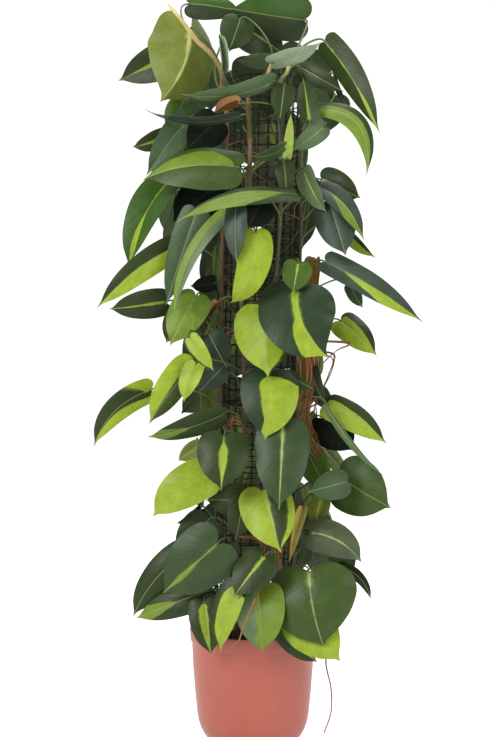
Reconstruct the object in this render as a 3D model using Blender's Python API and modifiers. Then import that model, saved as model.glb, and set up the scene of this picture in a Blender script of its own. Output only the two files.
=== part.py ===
"""Potted brasil philodendron: a plastic pot of soil, a mesh climbing column and eight leafy vines on it.

Lengths are metres and +Z is up. The origin is the middle of the pot's foot, where it meets the floor.
-Y faces the viewer of the front view that the leaf list is measured in."""

import math
import random
from collections import namedtuple

import bmesh
import bpy
from mathutils import Matrix, Vector
from mathutils.bvhtree import BVHTree

# Pot and soil
POT_HEIGHT = 0.215
RIM_RADIUS = 0.120
RIM_BAND = 0.023
WALL = 0.0022
FOOT_RADIUS = 0.080
BASE_DISC_RADIUS = 0.036
FLOOR_RISE = 0.005
DRAIN_HOLES = 8
DRAIN_HOLE_RADIUS = 0.0045
DRAIN_SLOTS = 8
SOIL_BELOW_RIM = 0.018
POT_STEPS = 32

# Climbing column
COLUMN_RADIUS = 0.070
COLUMN_TOP = 1.257
COLUMN_LEAN = 0.022
COLUMN_IN_SOIL = 0.120
BAR = 0.0024
UPRIGHTS = 8
RINGS = 9

# Vines
STEM_RADIUS = 0.0040
STEM_IN_SOIL = 0.060
STEM_STEP = 0.10
STALK_WIDTH = 0.0030
BLADE_THICKNESS = 0.0008
GAP = 0.0003

SOIL_TOP = POT_HEIGHT - SOIL_BELOW_RIM

# The front view that the leaf list is measured in: 496 by 737 squares, seen level from a point in
# front of the plant. A square is GRID wide at the pot's axis, and smaller nearer the viewer.
GRID = 0.001905
EYE = Vector((-0.0095, -2.5, 0.7077))
EYE_COLUMN = 248
EYE_ROW = 368.5
CM = 0.01


def seen_at(column, row, depth):
    """The point at a place of the front view that lies depth centimetres in front of the pot's axis."""
    square = GRID * (1 + depth * CM / EYE.y)
    return Vector((EYE.x + (column - EYE_COLUMN) * square,
                   -depth * CM,
                   EYE.z + (EYE_ROW - row) * square))


# One leaf of the front view. base and tip are places in it and depth is how far each lies in front
# of the axis, in centimetres. wide is the blade's width in squares. The rest are degrees: roll turns
# the face about the midrib, droop arches the midrib, fold raises the halves and over turns the
# margins back. sweep bends the midrib sideways and lobe lengthens the lobes at the base.
Leaf = namedtuple("Leaf", "name base tip depth wide roll droop fold over sweep lobe")


def leaf(name, base, tip, depth, wide, roll=0, droop=30, fold=10, over=30, sweep=0.0, lobe=1.0):
    return Leaf(name, base, tip, depth, wide, roll, droop, fold, over, sweep, lobe)


# Leaves that the front view shows, nearest the viewer first
SEEN_LEAVES = [
    # Middle, facing the viewer
    leaf("m1", (297, 291), (329, 358), (15, 20), 77, -14, 30, 5, 32, 0.14),
    leaf("m2", (256, 232), (230, 303), (17, 13), 34, 5, 105, -4, 10, -0.12),
    leaf("m3", (265, 306), (268, 377), (9, 13), 66, 8, 35, -12, 12),
    leaf("m4", (269, 376), (265, 440), (13, 15), 58, 0, 55, 5, 25, -0.03),
    leaf("m5", (224, 437), (221, 491), (16, 19), 52, 0, 35, 8, 40),
    leaf("m6", (283, 426), (279, 510), (15, 19), 54, 0, 25, 10, 40),
    leaf("m7", (262, 491), (281, 553), (13, 18), 54, 0, 30, 10, 40),
    leaf("m8", (298, 264), (293, 293), (12, 13), 30, 0, 30, 10, 30),
    leaf("m9", (284, 376), (314, 390), (9, 9), 18, -30, 30, 10, 20),
    # Bottom, hanging round the rim of the pot
    leaf("b1", (309, 572), (324, 647), (14, 17), 90, 5, 60, 5, 40, 0.03),
    leaf("b2", (259, 592), (262, 652), (14, 16), 50, 0, 65, 20, 20),
    leaf("b3", (217, 544), (163, 593), (15, 13), 62, 0, 25, 5, 30),
    leaf("b4", (204, 603), (211, 655), (13, 14), 34, 0, 35, 15, 40),
    leaf("b5", (236, 586), (221, 652), (14, 15), 32, 25, 35, 15, 30, 0.05),
    leaf("b6", (264, 557), (234, 597), (12, 14), 40, 15, 30, 10, 40),
    leaf("b7", (292, 606), (341, 662), (14, 18), 54, 0, 30, 10, 30),
    leaf("b8", (211, 590), (135, 619), (12, 9), 32, 10, 35, 10, 40, 0.0),
    leaf("b9", (184, 552), (133, 617), (6, 4), 34, 10, 40, 5, 40, 0.05),
    leaf("b10", (311, 533), (362, 563), (10, 12), 36, -10, 45, 10, 50, -0.10),
    leaf("b11", (207, 522), (179, 562), (9, 8), 42, 0, 30, 10, 30),
    leaf("b12", (282, 628), (318, 663), (9, 10), 28, 20, 30, 10, 30),
    leaf("b13", (340, 566), (371, 601), (2, 3), 12, 20, 30, 10, 20, -0.18),
    leaf("b14", (200, 510), (176, 523), (5, 4), 20, -60, 60, 10, 20),
    # Right side, lower half
    leaf("r1", (341, 478), (391, 508), (6, 10), 58, 10, 30, 5, 30),
    leaf("r2", (346, 482), (308, 492), (9, 11), 30, 0, 40, 5, 40),
    leaf("r3", (309, 455), (330, 492), (9, 12), 32, 20, 30, 10, 30),
    leaf("r4", (328, 405), (387, 444), (8, 12), 30, -15, 45, 10, 30, -0.02),
    leaf("r5", (326, 405), (385, 477), (12, 14), 12, 55, 25, 20, 10),
    leaf("r6", (322, 418), (354, 451), (5, 7), 42, 0, 30, 10, 30),
    leaf("r7", (312, 370), (326, 404), (9, 10), 20, 40, 40, 10, 20),
    leaf("r8", (318, 391), (330, 409), (5, 5), 18, 0, 30, 10, 30),
    leaf("r9", (341, 321), (377, 356), (3, 7), 30, -15, 45, 10, 30),
    leaf("r10", (322, 500), (315, 529), (8, 8), 22, 20, 30, 20, 20),
    # Right side, upper half
    leaf("r11", (326, 262), (424, 323), (9, 14), 28, -25, 25, 20, 20),
    leaf("r12", (330, 204), (346, 256), (10, 13), 40, 0, 25, 10, 50),
    leaf("r13", (338, 224), (376, 258), (6, 8), 18, 40, 20, 20, 10),
    leaf("r14", (320, 187), (364, 241), (7, 12), 24, -25, 60, 15, 20, -0.04),
    leaf("r15", (305, 172), (327, 213), (9, 10), 26, 40, 30, 20, 20),
    leaf("r16", (322, 180), (361, 198), (2, 4), 32, 0, 35, 10, 40),
    leaf("r17", (316, 109), (366, 177), (9, 13), 22, -15, 70, 12, 30, -0.22),
    leaf("r18", (324, 127), (292, 150), (10, 9), 22, -20, 40, 10, 30),
    leaf("r19", (325, 42), (380, 134), (8, 13), 29, 20, 25, -10, 12, -0.06),
    leaf("r20", (300, 67), (344, 92), (5, 7), 21, 0, 30, 10, 30),
    leaf("r22", (334, 77), (349, 110), (3, 4), 7, 30, 30, 20, 10),
    leaf("r21", (350, 285), (363, 308), (4, 5), 16, 20, 30, 10, 20),
    # Crown
    leaf("c1", (190, 31), (160, 102), (7, 9), 72, -12, 40, -24, 12, -0.08, 2.5),
    leaf("c2", (304, 20), (228, 8), (2, 6), 46, -5, 40, 5, 30),
    leaf("c3", (240, 20), (229, 52), (5, 6), 34, 0, 30, 10, 40),
    leaf("c4", (242, 25), (287, 56), (2, 5), 40, 0, 30, 10, 30),
    leaf("c5", (190, 4), (243, 13), (5, 4), 30, -30, 30, 5, 30),
    leaf("c6", (273, 63), (321, 42), (9, 12), 30, 55, 30, 10, 30),
    leaf("c7", (269, 61), (237, 60), (9, 8), 26, -55, 30, 10, 30),
    leaf("c8", (271, 83), (181, 94), (11, 14), 34, -60, 40, 5, 30),
    leaf("c9", (181, 54), (118, 81), (2, 1), 38, 10, 30, 20, 20),
    leaf("c10", (238, 117), (144, 109), (13, 7), 26, -72, 40, 10, 30),
    leaf("c11", (310, 120), (303, 78), (5, 5), 22, 10, 20, 25, 10),
    leaf("c12", (284, 87), (280, 119), (9, 9), 24, 0, 30, 10, 30),
    leaf("c13", (287, 158), (291, 113), (12, 12), 10, 10, 15, 10, 20),
    leaf("c14", (222, 76), (204, 60), (3, 2), 20, 50, 30, 20, 10),
    leaf("c15", (284, 163), (287, 193), (9, 9), 20, 0, 30, 10, 30),
    leaf("c16", (283, 148), (252, 156), (11, 12), 26, -60, 50, 10, 20),
    leaf("c17", (223, 70), (219, 33), (9, 8), 7, 10, 10, 70, -20),
    # Left side, upper half
    leaf("l1", (236, 167), (143, 180), (13, 10), 50, 35, 40, 5, 40, 0.03),
    leaf("l2", (188, 119), (146, 176), (9, 12), 30, 10, 35, 20, 20),
    leaf("l3", (294, 194), (176, 222), (14, 19), 28, 50, 45, 10, 30),
    leaf("l4", (234, 207), (174, 320), (14, 14), 18, 30, 40, 10, 20, 0.08),
    leaf("l5", (168, 182), (128, 269), (5, 8), 38, 28, 35, 25, 15, 0.04),
    leaf("l6", (176, 246), (96, 309), (8, 11), 28, 0, 35, 5, 30, 0.04),
    leaf("l7", (236, 207), (237, 264), (13, 14), 24, 20, 30, 10, 30),
    leaf("l8", (196, 296), (170, 346), (10, 13), 38, 10, 45, 5, 40),
    leaf("l9", (196, 212), (166, 306), (8, 6), 32, 10, 20, 10, 30),
    leaf("l10", (214, 187), (172, 222), (8, 7), 44, 0, 30, 10, 30),
    leaf("l11", (262, 200), (248, 228), (10, 9), 36, 0, 30, 10, 30),
    leaf("l12", (170, 135), (132, 147), (4, 3), 24, -30, 35, 15, 30),
    leaf("l13", (165, 302), (109, 309), (3, 2), 30, -10, 25, 5, 30),
    leaf("l14", (182, 105), (170, 134), (6, 5), 28, 0, 30, 10, 30),
    leaf("l15", (216, 121), (186, 150), (5, 4), 38, 0, 30, 10, 30),
    leaf("l16", (182, 312), (166, 343), (4, 4), 28, 0, 30, 10, 30),
    leaf("l17", (214, 283), (190, 286), (8, 9), 18, -20, 30, 10, 30),
    # Left side, lower half
    leaf("l18", (210, 474), (153, 517), (11, 11), 43, 5, 60, 5, 30, 0.06),
    leaf("l19", (150, 390), (94, 447), (5, 4), 27, -10, 35, 10, 30, 0.14),
    leaf("l20", (193, 366), (149, 424), (12, 14), 34, -25, 45, 0, 50, 0.08),
    leaf("l21", (190, 338), (214, 371), (15, 14), 18, 10, 25, 10, 20),
    leaf("l22", (210, 337), (227, 368), (10, 10), 32, 0, 30, 10, 30),
    leaf("l23", (196, 365), (184, 402), (11, 12), 24, 30, 35, 15, 20),
    leaf("l24", (222, 368), (200, 391), (8, 7), 24, 0, 30, 10, 30),
    leaf("l25", (222, 415), (147, 437), (12, 10), 28, -35, 30, 10, 30),
    leaf("l26", (200, 446), (178, 461), (6, 5), 18, 20, 30, 15, 20),
    leaf("l27", (244, 500), (206, 500), (8, 7), 34, 0, 30, 10, 30),
    leaf("l28", (243, 500), (236, 540), (10, 10), 28, 0, 30, 10, 30),
    # Dried leaves and dry leaf sheaths
    leaf("dry1", (315, 261), (314, 298), (5, 4), 18, 20, 20, 30, -30),
    leaf("dry2", (303, 508), (289, 563), (11, 12), 14, 20, 20, 40, 10),
    leaf("dry3", (238, 104), (214, 113), (10, 8), 14, 30, 40, 30, -30),
    leaf("dry4", (217, 303), (195, 332), (11, 10), 10, 20, 20, 40, 10),
]

# The flat heart-shaped blade, with the stalk's end at (0, 0) and the tip at (0, 1). For each half: its
# outline's corners a, b, c and d, the points S and T on the midrib, and its triangles, in which N is
# the notch where the stalk ends and Z is the tip. Large blades take the broad shape.
Shape = namedtuple("Shape", "outline spine triangles")
BROAD = Shape(((0.20, -0.14), (0.44, 0.04), (0.45, 0.40), (0.29, 0.76)), (0.37, 0.74),
              "Nab Nbc NcS Scd SdT TdZ")
PLAIN = Shape(((0.27, -0.14), (0.46, 0.18), (0.37, 0.66)), (0.48,), "Nab NbS Sbc ScZ")
BROAD_FROM = 0.062
# The flat outlines' own width, which the blade's width is set against
OUTLINE_WIDTH = 0.88

Blade = namedtuple("Blade", "base along face across length wide droop fold over sweep lobe wave shape")


def make_blade(base, tip, facing, wide, droop, fold, over, sweep, lobe, wave, shape):
    """A blade from its stalk's end to its tip, with its upper face turned towards facing."""
    chord = tip - base
    along = chord.normalized()
    face = (facing - along * facing.dot(along)).normalized()
    bend = max(math.radians(droop), 0.05)
    length = chord.length * (bend / 2) / math.sin(bend / 2)
    slim = min(1.0, wide / (0.8 * length))
    return Blade(base, along, face, along.cross(face), length, wide, bend,
                 math.radians(fold), math.radians(over), sweep, lobe * slim, wave, shape)


def midrib_frame(blade, v):
    """Point, direction, upward normal and way across of the midrib at share v of its length."""
    turn = blade.droop * (v - 0.5)
    radius = blade.length / blade.droop
    run = radius * (math.sin(turn) + math.sin(blade.droop / 2))
    rise = radius * (math.cos(turn) - math.cos(blade.droop / 2))
    side = blade.sweep * blade.length * 4 * v * (1 - v)
    point = blade.base + blade.along * run + blade.face * rise + blade.across * side
    direction = blade.along * math.cos(turn) - blade.face * math.sin(turn)
    normal = blade.face * math.cos(turn) + blade.along * math.sin(turn)
    slope = math.atan(blade.sweep * 4 * (1 - 2 * v))
    across = blade.across * math.cos(slope) - direction * math.sin(slope)
    direction = direction * math.cos(slope) + blade.across * math.sin(slope)
    return point, direction, normal, across


def on_blade(blade, u, v):
    """The point of the bent blade that u, v has on the flat one."""
    if v < 0:
        v *= blade.lobe
    centre, _, normal, across = midrib_frame(blade, v)
    half = blade.wide / 2
    out = abs(u) * blade.wide / OUTLINE_WIDTH
    share = out / half
    turned = blade.fold - blade.over * share
    if abs(blade.over) < 0.01:
        reach = out * math.cos(blade.fold)
        rise = out * math.sin(blade.fold)
    else:
        reach = (math.sin(blade.fold) - math.sin(turned)) * half / blade.over
        rise = (math.cos(turned) - math.cos(blade.fold)) * half / blade.over
    ripple = 0.05 * half * share * share * math.sin(9.5 * v + blade.wave + (2.0 if u > 0 else 0.0))
    return centre + across * math.copysign(reach, u) + normal * (rise + ripple)


def blade_normal(blade, u, v):
    """The upper face's direction at u, v, from two short steps on the blade."""
    step = 0.01
    over_u = on_blade(blade, u + step, v) - on_blade(blade, u - step, v)
    over_v = on_blade(blade, u, v + step) - on_blade(blade, u, v - step)
    return over_u.cross(over_v).normalized()


def leaf_solid(blade, stalk, grow=0.0):
    """Points and faces of a blade and its stalk as one closed shell, every face a triangle.

    The upper face ends at the stalk in two corners and the lower face in one, so the stalk has three
    sides. stalk lists its rings from the stem to the blade, each a point with its two half widths as
    vectors. grow makes the shell that much thicker all round."""
    shape = blade.shape
    half = BLADE_THICKNESS / 2 + grow
    edge = 1 + 2 * grow / max(blade.wide, 0.02)
    sink = STALK_WIDTH / blade.wide * OUTLINE_WIDTH / 2
    outline = [(u * edge, v) for u, v in shape.outline]
    flat = outline + [(0.0, 1.0 + grow / blade.length)] + [(-u, v) for u, v in reversed(outline)]
    rim = len(flat)
    flat += [(0.0, v) for v in shape.spine]
    count = len(flat)
    points = []
    for side in (1, -1):
        for u, v in flat:
            points.append(on_blade(blade, u, v) + blade_normal(blade, u, v) * (side * half))
    notch = len(points)
    for u, side in ((-sink, 1), (sink, 1), (0.0, -1)):
        points.append(on_blade(blade, u, 0.0) + blade_normal(blade, u, 0.0) * (side * half))
    right = {"N": notch + 1, "Z": len(outline)}
    left = {"N": notch, "Z": len(outline)}
    for i, letter in enumerate("abcd"[:len(outline)]):
        right[letter] = i
        left[letter] = rim - 1 - i
    for i, letter in enumerate("ST"[:len(shape.spine)]):
        right[letter] = left[letter] = rim + i
    top = [tuple(right[letter] for letter in triangle) for triangle in shape.triangles.split()]
    top += [tuple(left[letter] for letter in reversed(triangle)) for triangle in shape.triangles.split()]
    faces = list(top)
    faces.append((notch, notch + 1, rim))
    for triangle in top:
        under = [notch + 2 if i >= notch else i + count for i in triangle]
        faces.append((under[0], under[2], under[1]))
    loop = [notch + 1] + list(range(rim)) + [notch]
    for a, b in zip(loop, loop[1:]):
        under_a = notch + 2 if a >= notch else a + count
        under_b = notch + 2 if b >= notch else b + count
        faces += [(a, under_a, under_b), (a, under_b, b)]
    ring = [notch, notch + 1, notch + 2]
    for point, sideways, upward in reversed(stalk):
        start = len(points)
        sideways = sideways * (1 + grow / sideways.length)
        upward = upward * (1 + grow / upward.length)
        points += [point - sideways + upward, point + sideways + upward, point - upward]
        new = [start, start + 1, start + 2]
        for k in range(3):
            m = (k + 1) % 3
            faces += [(ring[k], new[k], new[m]), (ring[k], new[m], ring[m])]
        ring = new
    faces.append((ring[0], ring[2], ring[1]))
    return points, faces


def crosses_itself(points, faces):
    """Whether faces of a shell that don't share a corner touch each other."""
    tree = BVHTree.FromPolygons(points, faces)
    return any(not set(faces[a]) & set(faces[b]) for a, b in tree.overlap(tree))


def tube_solid(path, radius, sides):
    """Points and faces of a closed tube with flat ends along path, which may taper through radius(share)."""
    points = []
    faces = []
    side = (path[1] - path[0]).orthogonal().normalized()
    for i, centre in enumerate(path):
        ahead = path[min(i + 1, len(path) - 1)] - path[max(i - 1, 0)]
        ahead.normalize()
        side = (side - ahead * side.dot(ahead)).normalized()
        other = ahead.cross(side)
        r = radius(i / (len(path) - 1))
        for k in range(sides):
            angle = 2 * math.pi * k / sides
            points.append(centre + side * (math.cos(angle) * r) + other * (math.sin(angle) * r))
    for i in range(len(path) - 1):
        for k in range(sides):
            a = i * sides + k
            b = i * sides + (k + 1) % sides
            faces += [(a, b, b + sides), (a, b + sides, a + sides)]
    end = (len(path) - 1) * sides
    for k in range(1, sides - 1):
        faces += [(0, k + 1, k), (end, end + k, end + k + 1)]
    return points, faces


def smooth_path(corners, spacing):
    """Points about spacing apart on a smooth curve through the corners."""
    ends = [corners[0] * 2 - corners[1]] + list(corners) + [corners[-1] * 2 - corners[-2]]
    path = [corners[0]]
    for a, b, c, d in zip(ends, ends[1:], ends[2:], ends[3:]):
        steps = max(1, round((c - b).length / spacing))
        for i in range(1, steps + 1):
            t = i / steps
            path.append(0.5 * (2 * b + (c - a) * t + (2 * a - 5 * b + 4 * c - d) * t * t
                               + (3 * b - a - 3 * c + d) * t * t * t))
    return path


# Vines: where each climbs round the column, in degrees from the front towards the right, how high
# its last point on the column is, and the free end that some have above it, as places of the front view
Vine = namedtuple("Vine", "name angle top free_end")
VINES = [
    Vine("vine_front_left", -22.5, 1.215, [(262, 84, 8.5), (270, 68, 9.0), (272, 56, 9.5)]),
    Vine("vine_front_right", 22.5, 1.225, [(287, 72, 8.5), (290, 60, 7.5)]),
    Vine("vine_right_front", 67.5, 1.205, []),
    Vine("vine_right_back", 112.5, 1.165, []),
    Vine("vine_back_right", 157.5, 1.230, []),
    Vine("vine_back_left", -157.5, 1.210, []),
    Vine("vine_left_back", -112.5, 1.180, []),
    Vine("vine_left_front", -67.5, 1.190,
         [(222, 92, 5.0), (222, 75, 7.5), (214, 57, 9.5), (197, 41, 10.8), (183, 22, 11.2), (168, 4, 10.8)]),
]


def column_centre(height):
    """The leaning column's centre at a height."""
    share = (height - SOIL_TOP) / (COLUMN_TOP - SOIL_TOP)
    return Vector((COLUMN_LEAN * share, 0.0, height))


def outward(degrees):
    """The level direction away from the column at an angle from the front towards the right."""
    angle = math.radians(degrees)
    return Vector((math.sin(angle), -math.cos(angle), 0.0))


def vine_path(vine):
    """The centre line of a vine's stem, from its foot in the soil to its free end."""
    reach = COLUMN_RADIUS + BAR / 2 + STEM_RADIUS + GAP + 0.0007
    corners = [column_centre(SOIL_TOP - STEM_IN_SOIL) + outward(vine.angle) * (reach + 0.001)]
    steps = round((vine.top - SOIL_TOP - 0.02) / STEM_STEP)
    for i in range(steps + 1):
        height = SOIL_TOP + 0.02 + (vine.top - SOIL_TOP - 0.02) * i / steps
        stray = 0 if i == 0 else 4.0 * math.sin(1.3 * i + vine.angle)
        away = reach / math.cos(math.radians(stray)) + 0.001
        corners.append(column_centre(height) + outward(vine.angle + stray) * away)
    if vine.free_end:
        corners += smooth_path([corners[-1]] + [seen_at(*place) for place in vine.free_end], 0.025)[1:]
    return corners


def along_path(path, spacing):
    """Points on a path of straight pieces, about spacing apart."""
    places = [path[0]]
    for a, b in zip(path, path[1:]):
        steps = max(1, round((b - a).length / spacing))
        places += [a.lerp(b, i / steps) for i in range(1, steps + 1)]
    return places


def stem_taper(share):
    """A stem's radius, which shrinks towards its free end."""
    return STEM_RADIUS * (1.0 - 0.30 * max(0.0, share - 0.9) / 0.1)


# Aerial roots: the vine that each grows from, its thickness, and its course in the front view
ROOT_RADIUS = 0.0012
ROOTS = [
    ("vine_right_front", 1.7, [(316, 612, 5.0), (327, 640, 6.0), (326, 664, 6.0), (331, 688, 5.5),
                               (331, 712, 5.0), (324, 733, 4.5)]),
    ("vine_front_left", 1.7, [(259, 582, 13.0), (252, 606, 19.0), (243, 628, 20.5), (239, 640, 19.5),
                              (231, 648, 17.5)]),
    ("vine_right_front", 1.0, [(331, 357, 7.0), (328, 376, 8.0), (319, 396, 8.0), (312, 420, 7.5)]),
    ("vine_right_front", 1.0, [(318, 350, 6.0), (319, 375, 7.5), (316, 400, 7.0), (309, 432, 7.0)]),
    ("vine_right_front", 1.2, [(306, 350, 7.0), (309, 385, 8.5), (306, 420, 8.5), (318, 452, 8.5)]),
]


def stalk_course(node, blade, lean):
    """The stalk's curve from a node on the stem to the blade, as its four control points."""
    start, away = node
    end, direction, normal, _ = midrib_frame(blade, 0.0)
    span = (end - start).length
    elbow = min(0.030, 0.35 * span)
    up = Vector((0, 0, 1))
    first = start + (away * 0.35 + up * 0.30 + away.cross(up) * lean).normalized() * span * 0.38
    second = end - direction * elbow - normal * (0.35 * elbow) + up * (0.25 * elbow)
    return start, first, second, end


def stalk_shares(course):
    """Where along its curve a stalk has its rings."""
    return SHORT_STALK_SHARES if (course[3] - course[0]).length < SHORT_STALK else STALK_SHARES


def stalk_rings(course, blade, shares, half_width):
    """The stalk's rings at the given shares of its curve, turned steadily from the blade's own."""
    a, b, c, d = course
    _, direction, upward, sideways = midrib_frame(blade, 0.0)
    rings = []
    for t in reversed(shares):
        s = 1 - t
        point = a * (s ** 3) + b * (3 * s * s * t) + c * (3 * s * t * t) + d * (t ** 3)
        ahead = ((b - a) * (s * s) + (c - b) * (2 * s * t) + (d - c) * (t * t)).normalized()
        turn = direction.rotation_difference(ahead)
        sideways.rotate(turn)
        upward.rotate(turn)
        direction = ahead
        rings.append((point, sideways * half_width, upward * half_width))
    return list(reversed(rings))


STALK_SHARES = (0.0, 0.42, 0.80)
SHORT_STALK_SHARES = (0.0, 0.62)
SHORT_STALK = 0.07
CLEARANCE = 0.0013
DEPTH_SLIDES = (0, 1, -1, 2, -2, 3, -3, 4, -4, 5, -5, 6, -6, 7, -7)
TIP_SLIDES = (0, 2, -2, 4, -4)
TURNS = (0, 10, -10, 20, -20)
STALK_LEANS = (0.0, 0.25, -0.25, 0.55, -0.55)
SEEN_STEM_CHOICES = 6
SIDE_STEM_CHOICES = 8
GAP_STEM_CHOICES = 3
NODE_SPACING = 0.017


def box_of(points):
    """The lowest and highest corner of some points."""
    return ([min(p[i] for p in points) for i in range(3)], [max(p[i] for p in points) for i in range(3)])


class Room:
    """The solids placed so far, to find out what a new one would touch."""

    def __init__(self):
        self.taken = []

    def add(self, points, faces, owner=""):
        low, high = box_of(points)
        self.taken.append((low, high, BVHTree.FromPolygons(points, faces), owner))

    def is_free(self, points, faces, owner="none"):
        low, high = box_of(points)
        tree = None
        for other_low, other_high, other, other_owner in self.taken:
            if other_owner == owner:
                continue
            if any(low[i] > other_high[i] or high[i] < other_low[i] for i in range(3)):
                continue
            tree = tree or BVHTree.FromPolygons(points, faces)
            if tree.overlap(other):
                return False
        return True


def turned_shell(profile, steps):
    """Points and faces of a shell turned round the axis."""
    points = [Vector((r * math.sin(2 * math.pi * k / steps), -r * math.cos(2 * math.pi * k / steps), z))
              for r, z in profile for k in range(steps)]
    faces = []
    for i in range(len(profile) - 1):
        for k in range(steps):
            m = (k + 1) % steps
            faces.append((i * steps + k, i * steps + m, (i + 1) * steps + m, (i + 1) * steps + k))
    return points, faces


def keep_clear_of_fixed(room):
    """Adds what the leaves grow round: the pot with its soil, the column, the stems and the roots."""
    rim = RIM_RADIUS + 0.003
    room.add(*turned_shell([(0.001, SOIL_TOP + 0.002), (RIM_RADIUS - 0.006, SOIL_TOP + 0.002),
                            (RIM_RADIUS - 0.005, POT_HEIGHT + 0.002), (rim, POT_HEIGHT + 0.002),
                            (rim, POT_HEIGHT - 0.03), (0.112, 0.10), (0.102, 0.03), (0.08, -0.001)], 32))
    column = [column_centre(SOIL_TOP), column_centre(COLUMN_TOP + 0.003)]
    room.add(*tube_solid(column, lambda share: COLUMN_RADIUS + BAR / 2 + 0.0005, 32))
    for vine in VINES:
        room.add(*tube_solid(vine_path(vine), lambda share: STEM_RADIUS + 0.0012, 6), vine.name)
    for name, thickness, places in ROOTS:
        path = smooth_path(root_corners(name, places), 0.03)
        room.add(*tube_solid(path, lambda share: ROOT_RADIUS * thickness + 0.001, 4), name)


def root_corners(vine_name, places):
    """A root's course, which starts inside the nearest part of the vine that it grows from."""
    course = [seen_at(*place) for place in places]
    vine = next(v for v in VINES if v.name == vine_name)
    start = min(along_path(vine_path(vine), 0.01), key=lambda place: (place - course[0]).length)
    return [start] + course


def all_nodes():
    """Every place where a stalk could leave a stem: its vine, the point and the way out."""
    nodes = []
    for vine in VINES:
        for point in along_path(vine_path(vine), 0.008):
            if point.z > SOIL_TOP + 0.02:
                away = point - column_centre(point.z)
                nodes.append((vine.name, point, away.normalized()))
    return nodes


def likely_nodes(nodes, used, end, limit):
    """The nodes that a stalk would come from, the likeliest first."""
    ranked = []
    for name, point, away in nodes:
        steep = max(0.0, point.z - (end.z - 0.025))
        crowd = any(owner == name and (point - other).length < NODE_SPACING for owner, other in used)
        inward = max(0.0, 0.3 - (end - point).normalized().dot(away))
        ranked.append(((end - point).length + 2.0 * steep + (0.06 if crowd else 0.0) + 0.08 * inward,
                       name, point, away))
    ranked.sort(key=lambda item: item[0])
    picked = []
    for cost, name, point, away in ranked:
        if all(other[0] != name or (other[1] - point).length > 0.014 for other in picked):
            picked.append((name, point, away))
        if len(picked) == limit:
            break
    return picked


def seen_blade(item, near, tip_near, room_to_turn):
    """The blade of a leaf of the list, slid towards the viewer by near centimetres."""
    base = seen_at(*item.base, item.depth[0] + near)
    tip = seen_at(*item.tip, item.depth[1] + near + tip_near)
    middle = (base + tip) / 2
    along = (tip - base).normalized()
    viewer = (EYE - middle).normalized()
    towards = (viewer - along * viewer.dot(along)).normalized()
    roll = math.radians(item.roll + room_to_turn)
    facing = towards * math.cos(roll) + along.cross(towards) * math.sin(roll)
    over, fold = math.radians(item.over), math.radians(item.fold)
    shrink = (math.sin(fold) - math.sin(fold - over)) / over if abs(over) > 0.01 else math.cos(fold)
    wide = item.wide * GRID * (1 + (item.depth[0] + near) * CM / EYE.y) / shrink
    wave = random.Random(item.name).uniform(0, 6)
    shape = BROAD if wide >= BROAD_FROM else PLAIN
    return make_blade(base, tip, facing, wide, item.droop, item.fold, item.over, item.sweep, item.lobe,
                      wave, shape)


def blade_choices(item):
    """The blade as listed, then the same blade slid and tipped little by little."""
    for turn in TURNS:
        for tip_near in TIP_SLIDES:
            for near in DEPTH_SLIDES:
                yield seen_blade(item, near, tip_near, turn)


def grow_leaf(choices, nodes, used, room, node_limit):
    """The first choice of blade and stalk that touches nothing, as its vine, blade and stalk course."""
    stalk_half = STALK_WIDTH * 0.65 + CLEARANCE
    for blade in choices:
        flat_points, flat_faces = leaf_solid(blade, [], CLEARANCE)
        if crosses_itself(*leaf_solid(blade, [])) or not room.is_free(flat_points, flat_faces):
            continue
        for name, point, away in likely_nodes(nodes, used, blade.base, node_limit):
            for lean in STALK_LEANS:
                course = stalk_course((point, away), blade, lean)
                rings = stalk_rings(course, blade, stalk_shares(course), STALK_WIDTH / 2)
                path = [ring[0] for ring in rings] + [blade.base]
                stalk_points, stalk_faces = tube_solid(path, lambda share: stalk_half, 4)
                if not room.is_free(stalk_points, stalk_faces, name):
                    continue
                if crosses_itself(*leaf_solid(blade, rings)):
                    continue
                room.add(flat_points, flat_faces)
                room.add(*tube_solid(path[:2], lambda share: stalk_half, 4), name)
                room.add(*tube_solid(path[1:], lambda share: stalk_half, 4))
                used.append((name, point))
                return name, blade, course
    return None


def lay_out():
    """Every leaf with its vine, blade and stalk: the seen ones, then those that fill gaps and sides."""
    room = Room()
    keep_clear_of_fixed(room)
    nodes = all_nodes()
    used = []
    grown = []
    gaps = [(column, row) for row in GAP_ROWS for column in GAP_COLUMNS if inside_outline(column, row)]
    for item in SEEN_LEAVES:
        found = grow_leaf(blade_choices(item), nodes, used, room, SEEN_STEM_CHOICES)
        if found is None:
            print("no room for", item.name)
        else:
            grown.append((item.name,) + found)
            gaps = still_open(gaps, found[1])
    draw = random.Random(11)
    for vine in VINES:
        if vine.name in FILLERS_ON:
            rungs = int((vine.top - SOIL_TOP - 0.06) / FILLER_STEP)
            for i in range(rungs + 1):
                blades = filler_blades(draw, SOIL_TOP + 0.075 + i * FILLER_STEP, FILLERS_ON[vine.name], i % 2)
                found = grow_leaf(blades, nodes, used, room, SIDE_STEM_CHOICES)
                if found is not None:
                    grown.append(("{}_{}".format(vine.name, i),) + found)
                    gaps = still_open(gaps, found[1])
    for i in range(GAP_LEAVES):
        if not gaps:
            break
        blades, spot = gap_blades(draw, gaps)
        found = grow_leaf(blades, nodes, used, room, GAP_STEM_CHOICES)
        gaps = [place for place in gaps if place != spot]
        if found is not None:
            grown.append(("inner_{}".format(i),) + found)
            gaps = still_open(gaps, found[1])
    print(len(grown), "leaves grown,", len(gaps), "places still open")
    return grown


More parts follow.
